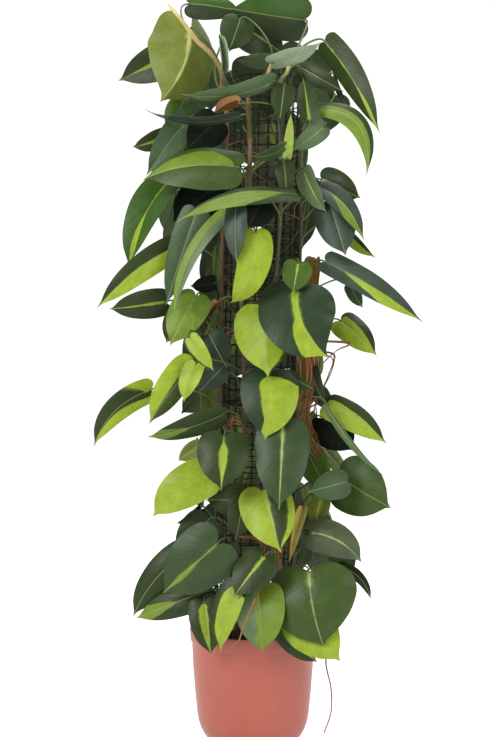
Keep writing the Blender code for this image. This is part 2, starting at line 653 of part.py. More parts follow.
# The plant's outline in the front view, as rows with the leftmost and rightmost column there, which
# the leaves at the sides and back stay inside
OUTLINE_ROWS = [(0, 195, 310), (50, 150, 330), (80, 160, 350), (110, 170, 350), (130, 160, 330),
                (140, 157, 306), (166, 150, 306), (174, 148, 350), (200, 138, 352), (216, 138, 345),
                (228, 150, 302), (256, 160, 302), (264, 210, 302), (288, 210, 302), (300, 150, 344),
                (312, 168, 340), (345, 180, 322), (395, 188, 318), (412, 170, 340), (425, 170, 345),
                (440, 190, 348), (480, 180, 375), (496, 190, 352), (508, 200, 330), (524, 200, 330),
                (534, 172, 350), (545, 165, 356), (600, 150, 354), (650, 195, 338)]


def inside_outline(column, row, margin=0):
    """Whether a place of the front view is inside the plant's outline, give or take a margin."""
    for (row_a, left_a, right_a), (row_b, left_b, right_b) in zip(OUTLINE_ROWS, OUTLINE_ROWS[1:]):
        if row_a <= row <= row_b:
            share = (row - row_a) / (row_b - row_a)
            left = left_a + (left_b - left_a) * share - margin
            right = right_a + (right_b - right_a) * share + margin
            return left < column < right
    return False


def seen_place(point):
    """The column and row of the front view where a point is seen."""
    square = GRID * (1 - point.y / EYE.y)
    return EYE_COLUMN + (point.x - EYE.x) / square, EYE_ROW - (point.z - EYE.z) / square


# Leaves of the sides and back follow one rule: one at every step up each vine, alternately to its left
# and right, within a range of angles round the column. Reach is how far from the column's middle the
# stalk ends, and steep is how far below the level the blade points, in degrees. Where there is no room
# for a leaf that stands off, one hangs close to the column, and may pass the outline by a few squares.
FILLER_STEP = 0.085
FILLER_REACH = (0.125, 0.195)
FILLER_SIZE = (0.105, 0.160)
FILLER_STEEP = (50, 84)
FILLER_ATTEMPTS = 14
CLOSE_REACH = (0.092, 0.118)
CLOSE_STEEP = (80, 96)
CLOSE_BEND = 0.45
CLOSE_MARGIN = 8
LOWEST_FILLER = 0.235
FILLERS_ON = {"vine_right_front": (60, 95), "vine_right_back": (85, 140), "vine_back_right": (125, 185),
              "vine_back_left": (-185, -125), "vine_left_back": (-140, -85), "vine_left_front": (-95, -60)}

# Leaves that close the gaps of the front view, behind the column: the places looked at, how many
# leaves at most, their sizes and how far behind the pot's axis they lie, in centimetres
GAP_GRID = 8
GAP_ROWS = range(64, 640, GAP_GRID)
GAP_COLUMNS = range(124, 380, GAP_GRID)
GAP_LEAVES = 60
GAP_LEAF_SIZE = (0.110, 0.155)
SMALL_GAP_LEAF_SIZE = (0.065, 0.110)
GAP_LEAF_DEPTH = (-17, -9)
GAP_ATTEMPTS = 24

# Where a blade's outline is checked, as places on the flat blade
OUTLINE_CHECKS = ((0, 0), (0.43, 0.1), (-0.43, 0.1), (0.3, 0.5), (-0.3, 0.5), (0, 1))


def inside_whole(blade, margin=0):
    """Whether a blade stays inside the plant's outline in the front view, and above the soil."""
    places = [on_blade(blade, u, v) for u, v in OUTLINE_CHECKS]
    return all(inside_outline(*seen_place(place), margin) and place.z > LOWEST_FILLER for place in places)


def filler_blades(draw, height, angles, turn):
    """Some blades near a height within a range of angles round the column, drawn by a seeded rule."""
    blades = []
    low, high = angles
    for attempt in range(2 * FILLER_ATTEMPTS):
        close = attempt >= FILLER_ATTEMPTS
        share = draw.uniform(0.0, 0.5) + 0.5 * turn
        way = outward(low + (high - low) * share)
        level = height + draw.uniform(-0.02, 0.03)
        base = column_centre(level) + way * draw.uniform(*(CLOSE_REACH if close else FILLER_REACH))
        down = math.radians(draw.uniform(*(CLOSE_STEEP if close else FILLER_STEEP)))
        size = draw.uniform(*FILLER_SIZE)
        sideways = Vector((0, 0, 1)).cross(way) * draw.uniform(-0.45, 0.45)
        up = Vector((0, 0, 1))
        tip = base + (way * math.cos(down) + sideways - up * math.sin(down)).normalized() * size
        facing = way * math.sin(down) + up * math.cos(down) + sideways * draw.uniform(-1, 1)
        blade = drawn_blade(draw, base, tip, facing, size, CLOSE_BEND if close else 1.0)
        if inside_whole(blade, CLOSE_MARGIN if close else 0):
            blades.append(blade)
    return blades


def drawn_blade(draw, base, tip, facing, size, bend=1.0):
    """A blade between two points with its bends drawn by a seeded rule."""
    return make_blade(base, tip, facing, size * draw.uniform(0.70, 0.84), bend * draw.uniform(20, 45),
                      bend * draw.uniform(5, 15), bend * draw.uniform(25, 45), 0.0, 1.0,
                      draw.uniform(0, 6), PLAIN)


def still_open(gaps, blade):
    """The places of the front view that a blade leaves open."""
    points, faces = leaf_solid(blade, [], 0.0)
    tree = BVHTree.FromPolygons(points, faces)
    left = []
    for column, row in gaps:
        way = (seen_at(column, row, 0) - EYE).normalized()
        if tree.ray_cast(EYE, way)[0] is None:
            left.append((column, row))
    return left


def gap_blades(draw, gaps):
    """Some blades behind the widest gap of the front view, and the place of that gap."""
    reach = 3 * GAP_GRID
    crowd = {place: 0 for place in gaps}
    for place in gaps:
        for other in gaps:
            if abs(place[0] - other[0]) <= reach and abs(place[1] - other[1]) <= reach:
                crowd[place] += 1
    spot = max(gaps, key=lambda place: (crowd[place], -place[1], -abs(place[0] - 250)))
    blades = []
    for attempt in range(GAP_ATTEMPTS):
        size = draw.uniform(*(GAP_LEAF_SIZE if attempt < GAP_ATTEMPTS / 2 else SMALL_GAP_LEAF_SIZE))
        depth = draw.uniform(*GAP_LEAF_DEPTH) + (0 if attempt < 10 else draw.uniform(0, 4))
        middle = seen_at(spot[0] + draw.uniform(-8, 8), spot[1] + draw.uniform(-8, 8), depth)
        tilt = math.radians(draw.uniform(-55, 55))
        lean = math.radians(draw.uniform(-5, 35))
        way = Vector((math.sin(tilt) * math.cos(lean), math.sin(lean), -math.cos(tilt) * math.cos(lean)))
        base = middle - way * (size * 0.45)
        tip = middle + way * (size * 0.55)
        facing = Vector((draw.uniform(-0.5, 0.5), 1.0, draw.uniform(0.0, 0.6)))
        blade = drawn_blade(draw, base, tip, facing, size)
        if inside_whole(blade):
            blades.append(blade)
    return blades, spot


def new_object(name, points, faces, collection):
    """A mesh object from points and faces."""
    mesh = bpy.data.meshes.new(name)
    mesh.from_pydata([tuple(p) for p in points], [], faces)
    mesh.update()
    made = bpy.data.objects.new(name, mesh)
    collection.objects.link(made)
    return made


def new_collection(name):
    """A collection linked to the scene."""
    made = bpy.data.collections.new(name)
    bpy.context.scene.collection.children.link(made)
    return made


def plain_material(name, colour, roughness):
    """A Principled material of one colour."""
    made = bpy.data.materials.new(name)
    made.use_nodes = True
    shader = made.node_tree.nodes["Principled BSDF"]
    shader.inputs["Base Color"].default_value = (*colour, 1.0)
    shader.inputs["Roughness"].default_value = roughness
    return made


def apply_boolean(target, cutters, operation):
    """Joins or cuts the target with every object of a collection, and removes those objects."""
    change = target.modifiers.new("boolean", "BOOLEAN")
    change.operand_type = "COLLECTION"
    change.collection = cutters
    change.operation = operation
    change.solver = "EXACT"
    shape = evaluated(target)
    target.modifiers.remove(change)
    target.data = shape
    for item in list(cutters.objects):
        bpy.data.objects.remove(item)
    bpy.data.collections.remove(cutters)


def evaluated(item):
    """The object's mesh with its modifiers or its curve worked out."""
    return bpy.data.meshes.new_from_object(item.evaluated_get(bpy.context.evaluated_depsgraph_get()))


def turned_object(name, profile, collection):
    """A solid turned round the axis from a profile that ends on the axis at both ends."""
    mesh = bpy.data.meshes.new(name)
    mesh.from_pydata([(r, 0.0, z) for r, z in profile], [(i, i + 1) for i in range(len(profile) - 1)], [])
    made = bpy.data.objects.new(name, mesh)
    collection.objects.link(made)
    screw = made.modifiers.new("turn", "SCREW")
    screw.steps = POT_STEPS
    screw.render_steps = POT_STEPS
    screw.use_merge_vertices = True
    screw.merge_threshold = 0.00005
    made.data = evaluated(made)
    made.modifiers.clear()
    return made


def round_tube(name, path, radius, resolution, collection):
    """A closed tube along a path: a curve with a bevel and caps, made a mesh so that it can be joined.

    radius gives the tube's radius for the share of the path's points passed."""
    curve = bpy.data.curves.new(name, "CURVE")
    curve.dimensions = "3D"
    curve.bevel_depth = 1.0
    curve.bevel_resolution = resolution
    curve.use_fill_caps = True
    line = curve.splines.new("POLY")
    line.points.add(len(path) - 1)
    for i, place in enumerate(path):
        line.points[i].co = (*place, 1.0)
        line.points[i].radius = radius(i / (len(path) - 1))
    guide = bpy.data.objects.new(name, curve)
    collection.objects.link(guide)
    mesh = evaluated(guide)
    bpy.data.objects.remove(guide)
    shape = bmesh.new()
    shape.from_mesh(mesh)
    bmesh.ops.remove_doubles(shape, verts=shape.verts[:], dist=0.00002)
    shape.to_mesh(mesh)
    shape.free()
    made = bpy.data.objects.new(name, mesh)
    collection.objects.link(made)
    return made


def smooth_faces(item, degrees=35):
    """Shades a round piece smooth, with its edges kept."""
    item.data.shade_smooth()
    item.data.set_sharp_from_angle(angle=math.radians(degrees))


# The pot's outer side from the rim down to the foot, and its inner side from the floor up, as radius
# and height
POT_SIDE = [(RIM_RADIUS, POT_HEIGHT - 0.0006), (RIM_RADIUS - 0.0016, POT_HEIGHT - RIM_BAND),
            (RIM_RADIUS - 0.0042, POT_HEIGHT - RIM_BAND - 0.0016), (0.1140, 0.143), (0.1062, 0.056),
            (0.1015, 0.034), (0.0920, 0.013), (FOOT_RADIUS, 0.0)]
POT_INSIDE = [(FOOT_RADIUS - 0.002, FLOOR_RISE + WALL), (0.0905, 0.0165), (0.0990, 0.0345),
              (0.1038, 0.0560), (0.1118, 0.143), (0.1138, POT_HEIGHT - RIM_BAND - 0.003),
              (0.1164, POT_HEIGHT - RIM_BAND + 0.002), (RIM_RADIUS - 0.0024, POT_HEIGHT - 0.0006)]


def make_pot(collection):
    """The pot, with a flat disc and a ring to stand on, drain holes between them and slots in the ring."""
    inner = [(0.0, FLOOR_RISE + WALL)] + POT_INSIDE
    lip = [(RIM_RADIUS - 0.0012, POT_HEIGHT)]
    foot = [(FOOT_RADIUS - 0.004, 0.0), (FOOT_RADIUS - 0.006, FLOOR_RISE),
            (BASE_DISC_RADIUS + 0.002, FLOOR_RISE), (BASE_DISC_RADIUS, 0.0), (0.0, 0.0)]
    pot = turned_object("pot", inner + lip + POT_SIDE + foot, collection)
    cutters = new_collection("pot_cutters")
    middle = 0.5 * (FOOT_RADIUS + BASE_DISC_RADIUS)
    for i in range(DRAIN_HOLES):
        place = outward(360 * (i + 0.5) / DRAIN_HOLES) * middle + Vector((0, 0, FLOOR_RISE))
        add_rod(cutters, place, Vector((0, 0, 1)), 0.02, DRAIN_HOLE_RADIUS, 8)
    for i in range(DRAIN_SLOTS):
        way = outward(360 * (i + 0.5) / DRAIN_SLOTS)
        add_box(cutters, way * (FOOT_RADIUS - 0.001), (0.008, 0.020, 0.006), Vector((0, 0, 1)), way)
    apply_boolean(pot, cutters, "DIFFERENCE")
    smooth_faces(pot)
    pot.data.materials.clear()
    pot.data.materials.append(plain_material("terracotta_plastic", (0.53, 0.145, 0.098), 0.45))
    return pot


def take_over(collection, axis, away):
    """Moves the primitive just added into a collection, its Z along axis and its Y towards away."""
    made = bpy.context.object
    for home in list(made.users_collection):
        home.objects.unlink(made)
    collection.objects.link(made)
    second = (away - axis * away.dot(axis)).normalized()
    turn = Matrix((second.cross(axis), second, axis)).transposed().to_4x4()
    made.matrix_world = Matrix.Translation(made.location) @ turn @ Matrix.Diagonal((*made.scale, 1.0))
    made.hide_render = True
    made.display_type = "WIRE"
    return made


def add_rod(collection, centre, axis, length, radius, sides):
    """A cylinder along an axis."""
    bpy.ops.mesh.primitive_cylinder_add(vertices=sides, radius=radius, depth=length, location=centre)
    return take_over(collection, axis, axis.orthogonal())


def add_box(collection, centre, size, axis, away):
    """A box with its height along axis and its depth towards away."""
    bpy.ops.mesh.primitive_cube_add(size=1.0, location=centre)
    bpy.context.object.scale = size
    return take_over(collection, axis, away)


def upright_line(i):
    """The ends of one upright of the column, and its way out from the column's middle."""
    way = outward(360 * (i + 0.5) / UPRIGHTS)
    foot = column_centre(SOIL_TOP - COLUMN_IN_SOIL) + way * COLUMN_RADIUS
    head = column_centre(COLUMN_TOP) + way * COLUMN_RADIUS
    return foot, head, way


def make_soil(collection):
    """The soil, which fills the pot and has a plain hole for each stem and each upright."""
    inset = GAP * 1.4
    side = [(r - inset, z + inset) for r, z in reversed(POT_INSIDE) if z < SOIL_TOP - 0.010]
    profile = [(0.0, SOIL_TOP + 0.002), (0.05, SOIL_TOP + 0.001), (0.1136 - inset, SOIL_TOP - 0.011)]
    profile += side + [(0.0, FLOOR_RISE + WALL + inset)]
    soil = turned_object("soil", profile, collection)
    cutters = new_collection("soil_cutters")
    for i in range(UPRIGHTS):
        foot, head, way = upright_line(i)
        axis = (head - foot).normalized()
        length = COLUMN_IN_SOIL + 0.03
        across = BAR + 2.6 * GAP
        add_box(cutters, foot + axis * (length / 2 - GAP), (across, across, length), axis, way)
    for vine in VINES:
        path = vine_path(vine)
        axis = (path[1] - path[0]).normalized()
        length = (path[1] - path[0]).length
        hole = (STEM_RADIUS + 2 * GAP) / math.cos(math.pi / 8)
        add_rod(cutters, path[0] + axis * (length / 2 - GAP), axis, length, hole, 8)
    apply_boolean(soil, cutters, "DIFFERENCE")
    smooth_faces(soil)
    soil.data.materials.clear()
    soil.data.materials.append(plain_material("potting_soil", (0.018, 0.013, 0.010), 0.95))
    return soil


def make_column(collection):
    """The mesh column: upright bars and thinner rings, joined into one piece."""
    parts = new_collection("column_bars")
    bars = []
    for i in range(UPRIGHTS):
        foot, head, way = upright_line(i)
        axis = (head - foot).normalized()
        bars.append(add_box(parts, (foot + head) / 2, (BAR, BAR, (head - foot).length), axis, way))
    low = SOIL_TOP + 0.012
    for i in range(RINGS):
        height = low + (COLUMN_TOP - 0.003 - low) * i / (RINGS - 1)
        bpy.ops.mesh.primitive_torus_add(major_segments=UPRIGHTS, minor_segments=3, major_radius=COLUMN_RADIUS,
                                         minor_radius=BAR * 0.45, location=column_centre(height))
        take_over(parts, Vector((0, 0, 1)), outward(180 / UPRIGHTS))
    column = bars[0]
    parts.objects.unlink(column)
    collection.objects.link(column)
    column.hide_render = False
    column.display_type = "TEXTURED"
    apply_boolean(column, parts, "UNION")
    column.name = "climbing_column"
    column.data.materials.append(plain_material("black_mesh", (0.012, 0.013, 0.013), 0.5))
    return column


def make_vine(vine, grown, collection, material):
    """One vine: its stem with its leaves and aerial roots, joined into one piece."""
    stem = round_tube(vine.name, vine_path(vine), stem_taper, 0, collection)
    parts = new_collection(vine.name + "_parts")
    for name, owner, blade, course in grown:
        if owner == vine.name:
            rings = stalk_rings(course, blade, stalk_shares(course), STALK_WIDTH / 2)
            new_object(name, *leaf_solid(blade, rings), parts)
    for name, thickness, places in ROOTS:
        if name == vine.name:
            course = smooth_path(root_corners(name, places), 0.04)
            round_tube("root", course, lambda share: ROOT_RADIUS * thickness * (1 - 0.4 * share), 0, parts)
    apply_boolean(stem, parts, "UNION")
    stem.data.materials.clear()
    stem.data.materials.append(material)
    return stem


def main():
    """Clears the scene and models the plant."""
    for item in list(bpy.data.objects):
        bpy.data.objects.remove(item)
    collection = new_collection("potted_brasil_philodendron")
    make_pot(collection)
    make_soil(collection)
    make_column(collection)
    green = plain_material("leaf_green", (0.045, 0.11, 0.035), 0.4)
    grown = lay_out()
    for vine in VINES:
        make_vine(vine, grown, collection, green)


main()
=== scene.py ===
# %% [markdown]
# # Potted brasil philodendron
# A climbing plant in a terracotta-coloured plastic pot. Eight vines climb a column of black plastic
# mesh, and their heart-shaped leaves are dark green with lime markings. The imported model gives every
# size and place. This lesson dresses it: the leaves grow again by the rule that the model's source
# uses, this time finely cut, curved and painted, and the stems, roots, mesh, soil and pot follow.

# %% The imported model
import math
import random
from collections import namedtuple

import bmesh
import bpy
import numpy as np
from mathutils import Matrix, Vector
from mathutils.bvhtree import BVHTree


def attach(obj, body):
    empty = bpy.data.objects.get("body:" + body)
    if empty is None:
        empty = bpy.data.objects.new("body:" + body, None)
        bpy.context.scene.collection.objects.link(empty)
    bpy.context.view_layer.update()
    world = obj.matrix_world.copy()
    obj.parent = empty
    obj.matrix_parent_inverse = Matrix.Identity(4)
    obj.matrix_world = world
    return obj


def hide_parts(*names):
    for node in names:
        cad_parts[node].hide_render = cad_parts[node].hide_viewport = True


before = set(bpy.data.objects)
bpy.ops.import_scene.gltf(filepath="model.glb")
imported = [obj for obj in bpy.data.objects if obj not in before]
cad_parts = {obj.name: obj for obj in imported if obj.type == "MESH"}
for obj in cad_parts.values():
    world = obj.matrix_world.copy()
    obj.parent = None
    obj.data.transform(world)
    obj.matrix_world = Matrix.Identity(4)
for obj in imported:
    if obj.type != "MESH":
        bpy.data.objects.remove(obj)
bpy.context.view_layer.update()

print("model's nodes:", ", ".join(sorted(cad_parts)))

# %% [markdown]
# ## The view
# The photograph was taken from straight in front at about the middle of the plant's height, so the
# camera looks level. It could stand anywhere and be tilted to fit, but a level camera keeps upright
# lines upright, as they are in the photograph. Its frame is 496 squares wide and 737 high, and a
# square is GRID metres wide at the pot's axis.

# %% Camera
GRID = 0.001905
EYE = Vector((-0.0095, -2.5, 0.7077))
EYE_COLUMN = 248
EYE_ROW = 368.5
CM = 0.01
SENSOR = 36.0
ROWS_SEEN = 737


def add_object(name, data):
    """A new object of the scene."""
    made = bpy.data.objects.new(name, data)
    bpy.context.scene.collection.objects.link(made)
    return made


lens = bpy.data.cameras.new("front_view")
lens.sensor_width = SENSOR
lens.lens = SENSOR * -EYE.y / (ROWS_SEEN * GRID)
camera = add_object("front_view", lens)
camera.location = EYE
camera.rotation_euler = (math.radians(90), 0, 0)
bpy.context.scene.camera = camera
print("lens", round(lens.lens, 1), "mm")


# %% A point of the view
def seen_at(column, row, depth):
    """The point at a place of the front view that lies depth centimetres in front of the pot's axis."""
    square = GRID * (1 + depth * CM / EYE.y)
    return Vector((EYE.x + (column - EYE_COLUMN) * square,
                   -depth * CM,
                   EYE.z + (EYE_ROW - row) * square))


def seen_place(point):
    """The column and row of the front view where a point is seen."""
    square = GRID * (1 - point.y / EYE.y)
    return EYE_COLUMN + (point.x - EYE.x) / square, EYE_ROW - (point.z - EYE.z) / square


# %% [markdown]
# ## The leaves that are seen
# On the real plant no two leaves hang alike. They could be scattered by a rule, but then the plant
# would be another one. So each leaf that the front view shows has a row: where its stalk ends, where
# its tip is, how far each lies in front of the axis in centimetres, and its width in squares. Then
# come, in degrees, how it rolls, droops, folds and turns its margins back, and at last how far it
# bends sideways as a share of its length and how long its lobes are. A row ends where all that would
# follow is usual.

# %% The leaf list
Leaf = namedtuple("Leaf", "name base tip depth wide roll droop fold over sweep lobe",
                  defaults=(0, 30, 10, 30, 0.0, 1.0))
SEEN_LEAVES = [
    # Middle, facing the viewer
    Leaf("m1", (297, 291), (329, 358), (15, 20), 77, -14, 30, 5, 32, 0.14),
    Leaf("m2", (256, 232), (230, 303), (17, 13), 34, 5, 105, -4, 10, -0.12),
    Leaf("m3", (265, 306), (268, 377), (9, 13), 66, 8, 35, -12, 12),
    Leaf("m4", (269, 376), (265, 440), (13, 15), 58, 0, 55, 5, 25, -0.03),
    Leaf("m5", (224, 437), (221, 491), (16, 19), 52, 0, 35, 8, 40),
    Leaf("m6", (283, 426), (279, 510), (15, 19), 54, 0, 25, 10, 40),
    Leaf("m7", (262, 491), (281, 553), (13, 18), 54, 0, 30, 10, 40),
    Leaf("m8", (298, 264), (293, 293), (12, 13), 30),
    Leaf("m9", (284, 376), (314, 390), (9, 9), 18, -30, 30, 10, 20),
    # Bottom, hanging round the rim of the pot
    Leaf("b1", (309, 572), (324, 647), (14, 17), 90, 5, 60, 5, 40, 0.03),
    Leaf("b2", (259, 592), (262, 652), (14, 16), 50, 0, 65, 20, 20),
    Leaf("b3", (217, 544), (163, 593), (15, 13), 62, 0, 25, 5),
    Leaf("b4", (204, 603), (211, 655), (13, 14), 34, 0, 35, 15, 40),
    Leaf("b5", (236, 586), (221, 652), (14, 15), 32, 25, 35, 15, 30, 0.05),
    Leaf("b6", (264, 557), (234, 597), (12, 14), 40, 15, 30, 10, 40),
    Leaf("b7", (292, 606), (341, 662), (14, 18), 54),
    Leaf("b8", (211, 590), (135, 619), (12, 9), 32, 10, 35, 10, 40),
    Leaf("b9", (184, 552), (133, 617), (6, 4), 34, 10, 40, 5, 40, 0.05),
    Leaf("b10", (311, 533), (362, 563), (10, 12), 36, -10, 45, 10, 50, -0.10),
    Leaf("b11", (207, 522), (179, 562), (9, 8), 42),
    Leaf("b12", (282, 628), (318, 663), (9, 10), 28, 20),
    Leaf("b13", (340, 566), (371, 601), (2, 3), 12, 20, 30, 10, 20, -0.18),
    Leaf("b14", (200, 510), (176, 523), (5, 4), 20, -60, 60, 10, 20),
    # Right side, lower half
    Leaf("r1", (341, 478), (391, 508), (6, 10), 58, 10, 30, 5),
    Leaf("r2", (346, 482), (308, 492), (9, 11), 30, 0, 40, 5, 40),
    Leaf("r3", (309, 455), (330, 492), (9, 12), 32, 20),
    Leaf("r4", (328, 405), (387, 444), (8, 12), 30, -15, 45, 10, 30, -0.02),
    Leaf("r5", (326, 405), (385, 477), (12, 14), 12, 55, 25, 20, 10),
    Leaf("r6", (322, 418), (354, 451), (5, 7), 42),
    Leaf("r7", (312, 370), (326, 404), (9, 10), 20, 40, 40, 10, 20),
    Leaf("r8", (318, 391), (330, 409), (5, 5), 18),
    Leaf("r9", (341, 321), (377, 356), (3, 7), 30, -15, 45),
    Leaf("r10", (322, 500), (315, 529), (8, 8), 22, 20, 30, 20, 20),
    # Right side, upper half
    Leaf("r11", (326, 262), (424, 323), (9, 14), 28, -25, 25, 20, 20),
    Leaf("r12", (330, 204), (346, 256), (10, 13), 40, 0, 25, 10, 50),
    Leaf("r13", (338, 224), (376, 258), (6, 8), 18, 40, 20, 20, 10),
    Leaf("r14", (320, 187), (364, 241), (7, 12), 24, -25, 60, 15, 20, -0.04),
    Leaf("r15", (305, 172), (327, 213), (9, 10), 26, 40, 30, 20, 20),
    Leaf("r16", (322, 180), (361, 198), (2, 4), 32, 0, 35, 10, 40),
    Leaf("r17", (316, 109), (366, 177), (9, 13), 22, -15, 70, 12, 30, -0.22),
    Leaf("r18", (324, 127), (292, 150), (10, 9), 22, -20, 40),
    Leaf("r19", (325, 42), (380, 134), (8, 13), 29, 20, 25, -10, 12, -0.06),
    Leaf("r20", (300, 67), (344, 92), (5, 7), 21),
    Leaf("r22", (334, 77), (349, 110), (3, 4), 7, 30, 30, 20, 10),
    Leaf("r21", (350, 285), (363, 308), (4, 5), 16, 20, 30, 10, 20),
    # Crown
    Leaf("c1", (190, 31), (160, 102), (7, 9), 72, -12, 40, -24, 12, -0.08, 2.5),
    Leaf("c2", (304, 20), (228, 8), (2, 6), 46, -5, 40, 5),
    Leaf("c3", (240, 20), (229, 52), (5, 6), 34, 0, 30, 10, 40),
    Leaf("c4", (242, 25), (287, 56), (2, 5), 40),
    Leaf("c5", (190, 4), (243, 13), (5, 4), 30, -30, 30, 5),
    Leaf("c6", (273, 63), (321, 42), (9, 12), 30, 55),
    Leaf("c7", (269, 61), (237, 60), (9, 8), 26, -55),
    Leaf("c8", (271, 83), (181, 94), (11, 14), 34, -60, 40, 5),
    Leaf("c9", (181, 54), (118, 81), (2, 1), 38, 10, 30, 20, 20),
    Leaf("c10", (238, 117), (144, 109), (13, 7), 26, -72, 40),
    Leaf("c11", (310, 120), (303, 78), (5, 5), 22, 10, 20, 25, 10),
    Leaf("c12", (284, 87), (280, 119), (9, 9), 24),
    Leaf("c13", (287, 158), (291, 113), (12, 12), 10, 10, 15, 10, 20),
    Leaf("c14", (222, 76), (204, 60), (3, 2), 20, 50, 30, 20, 10),
    Leaf("c15", (284, 163), (287, 193), (9, 9), 20),
    Leaf("c16", (283, 148), (252, 156), (11, 12), 26, -60, 50, 10, 20),
    Leaf("c17", (223, 70), (219, 33), (9, 8), 7, 10, 10, 70, -20),
    # Left side, upper half
    Leaf("l1", (236, 167), (143, 180), (13, 10), 50, 35, 40, 5, 40, 0.03),
    Leaf("l2", (188, 119), (146, 176), (9, 12), 30, 10, 35, 20, 20),
    Leaf("l3", (294, 194), (176, 222), (14, 19), 28, 50, 45),
    Leaf("l4", (234, 207), (174, 320), (14, 14), 18, 30, 40, 10, 20, 0.08),
    Leaf("l5", (168, 182), (128, 269), (5, 8), 38, 28, 35, 25, 15, 0.04),
    Leaf("l6", (176, 246), (96, 309), (8, 11), 28, 0, 35, 5, 30, 0.04),
    Leaf("l7", (236, 207), (237, 264), (13, 14), 24, 20),
    Leaf("l8", (196, 296), (170, 346), (10, 13), 38, 10, 45, 5, 40),
    Leaf("l9", (196, 212), (166, 306), (8, 6), 32, 10, 20),
    Leaf("l10", (214, 187), (172, 222), (8, 7), 44),
    Leaf("l11", (262, 200), (248, 228), (10, 9), 36),
    Leaf("l12", (170, 135), (132, 147), (4, 3), 24, -30, 35, 15),
    Leaf("l13", (165, 302), (109, 309), (3, 2), 30, -10, 25, 5),
    Leaf("l14", (182, 105), (170, 134), (6, 5), 28),
    Leaf("l15", (216, 121), (186, 150), (5, 4), 38),
    Leaf("l16", (182, 312), (166, 343), (4, 4), 28),
    Leaf("l17", (214, 283), (190, 286), (8, 9), 18, -20),
    # Left side, lower half
    Leaf("l18", (210, 474), (153, 517), (11, 11), 43, 5, 60, 5, 30, 0.06),
    Leaf("l19", (150, 390), (94, 447), (5, 4), 27, -10, 35, 10, 30, 0.14),
    Leaf("l20", (193, 366), (149, 424), (12, 14), 34, -25, 45, 0, 50, 0.08),
    Leaf("l21", (190, 338), (214, 371), (15, 14), 18, 10, 25, 10, 20),
    Leaf("l22", (210, 337), (227, 368), (10, 10), 32),
    Leaf("l23", (196, 365), (184, 402), (11, 12), 24, 30, 35, 15, 20),
    Leaf("l24", (222, 368), (200, 391), (8, 7), 24),
    Leaf("l25", (222, 415), (147, 437), (12, 10), 28, -35),
    Leaf("l26", (200, 446), (178, 461), (6, 5), 18, 20, 30, 15, 20),
    Leaf("l27", (244, 500), (206, 500), (8, 7), 34),
    Leaf("l28", (243, 500), (236, 540), (10, 10), 28),
    # Dried leaves and dry leaf sheaths
    Leaf("dry1", (315, 261), (314, 298), (5, 4), 18, 20, 20, 30, -30),
    Leaf("dry2", (303, 508), (289, 563), (11, 12), 14, 20, 20, 40, 10),
    Leaf("dry3", (238, 104), (214, 113), (10, 8), 14, 30, 40, 30, -30),
    Leaf("dry4", (217, 303), (195, 332), (11, 10), 10, 20, 20, 40, 10),
]
print(len(SEEN_LEAVES), "leaves are seen from the front")

# %% [markdown]
# ## One blade
# A heart-shaped blade is flat when it unfolds and then bends in simple ways: the midrib arches, the
# halves rise or fall from it, and the margins turn back and ripple. A modelled surface could be
# sculpted for every leaf. Instead one function takes a place of the flat heart to its place on the
# bent blade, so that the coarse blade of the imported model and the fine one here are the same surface.

# %% Sizes of the plant's parts
POT_HEIGHT = 0.215
RIM_RADIUS = 0.120
FOOT_RADIUS = 0.080
BASE_DISC_RADIUS = 0.036
DRAIN_HOLES = 8
DRAIN_HOLE_RADIUS = 0.0045
DRAIN_SLOTS = 8
SOIL_BELOW_RIM = 0.018
COLUMN_RADIUS = 0.070
COLUMN_TOP = 1.257
COLUMN_LEAN = 0.022
COLUMN_IN_SOIL = 0.120
BAR = 0.0024
UPRIGHTS = 8
RINGS = 9
STEM_RADIUS = 0.0040
STEM_IN_SOIL = 0.060
STEM_STEP = 0.10
STALK_WIDTH = 0.0030
BLADE_THICKNESS = 0.0008
GAP = 0.0003
SOIL_TOP = POT_HEIGHT - SOIL_BELOW_RIM

# %% The bent blade
Shape = namedtuple("Shape", "outline spine triangles")
BROAD = Shape(((0.20, -0.14), (0.44, 0.04), (0.45, 0.40), (0.29, 0.76)), (0.37, 0.74),
              "Nab Nbc NcS Scd SdT TdZ")
PLAIN = Shape(((0.27, -0.14), (0.46, 0.18), (0.37, 0.66)), (0.48,), "Nab NbS Sbc ScZ")
BROAD_FROM = 0.062
OUTLINE_WIDTH = 0.88
LEAST_BEND = 0.05
USUAL_WIDTH = 0.8
FLAT_HALF = 0.01
RIPPLE = 0.05
RIPPLE_WAVES = 9.5
RIPPLE_SHIFT = 2.0
NORMAL_STEP = 0.01
LEAST_WIDE = 0.02
Blade = namedtuple("Blade", "base along face across length wide droop fold over sweep lobe wave shape")


def make_blade(base, tip, facing, wide, droop, fold, over, sweep, lobe, wave, shape):
    """A blade from its stalk's end to its tip, with its upper face turned towards facing."""
    chord = tip - base
    along = chord.normalized()
    face = (facing - along * facing.dot(along)).normalized()
    bend = max(math.radians(droop), LEAST_BEND)
    length = chord.length * (bend / 2) / math.sin(bend / 2)
    slim = min(1.0, wide / (USUAL_WIDTH * length))
    return Blade(base, along, face, along.cross(face), length, wide, bend,
                 math.radians(fold), math.radians(over), sweep, lobe * slim, wave, shape)


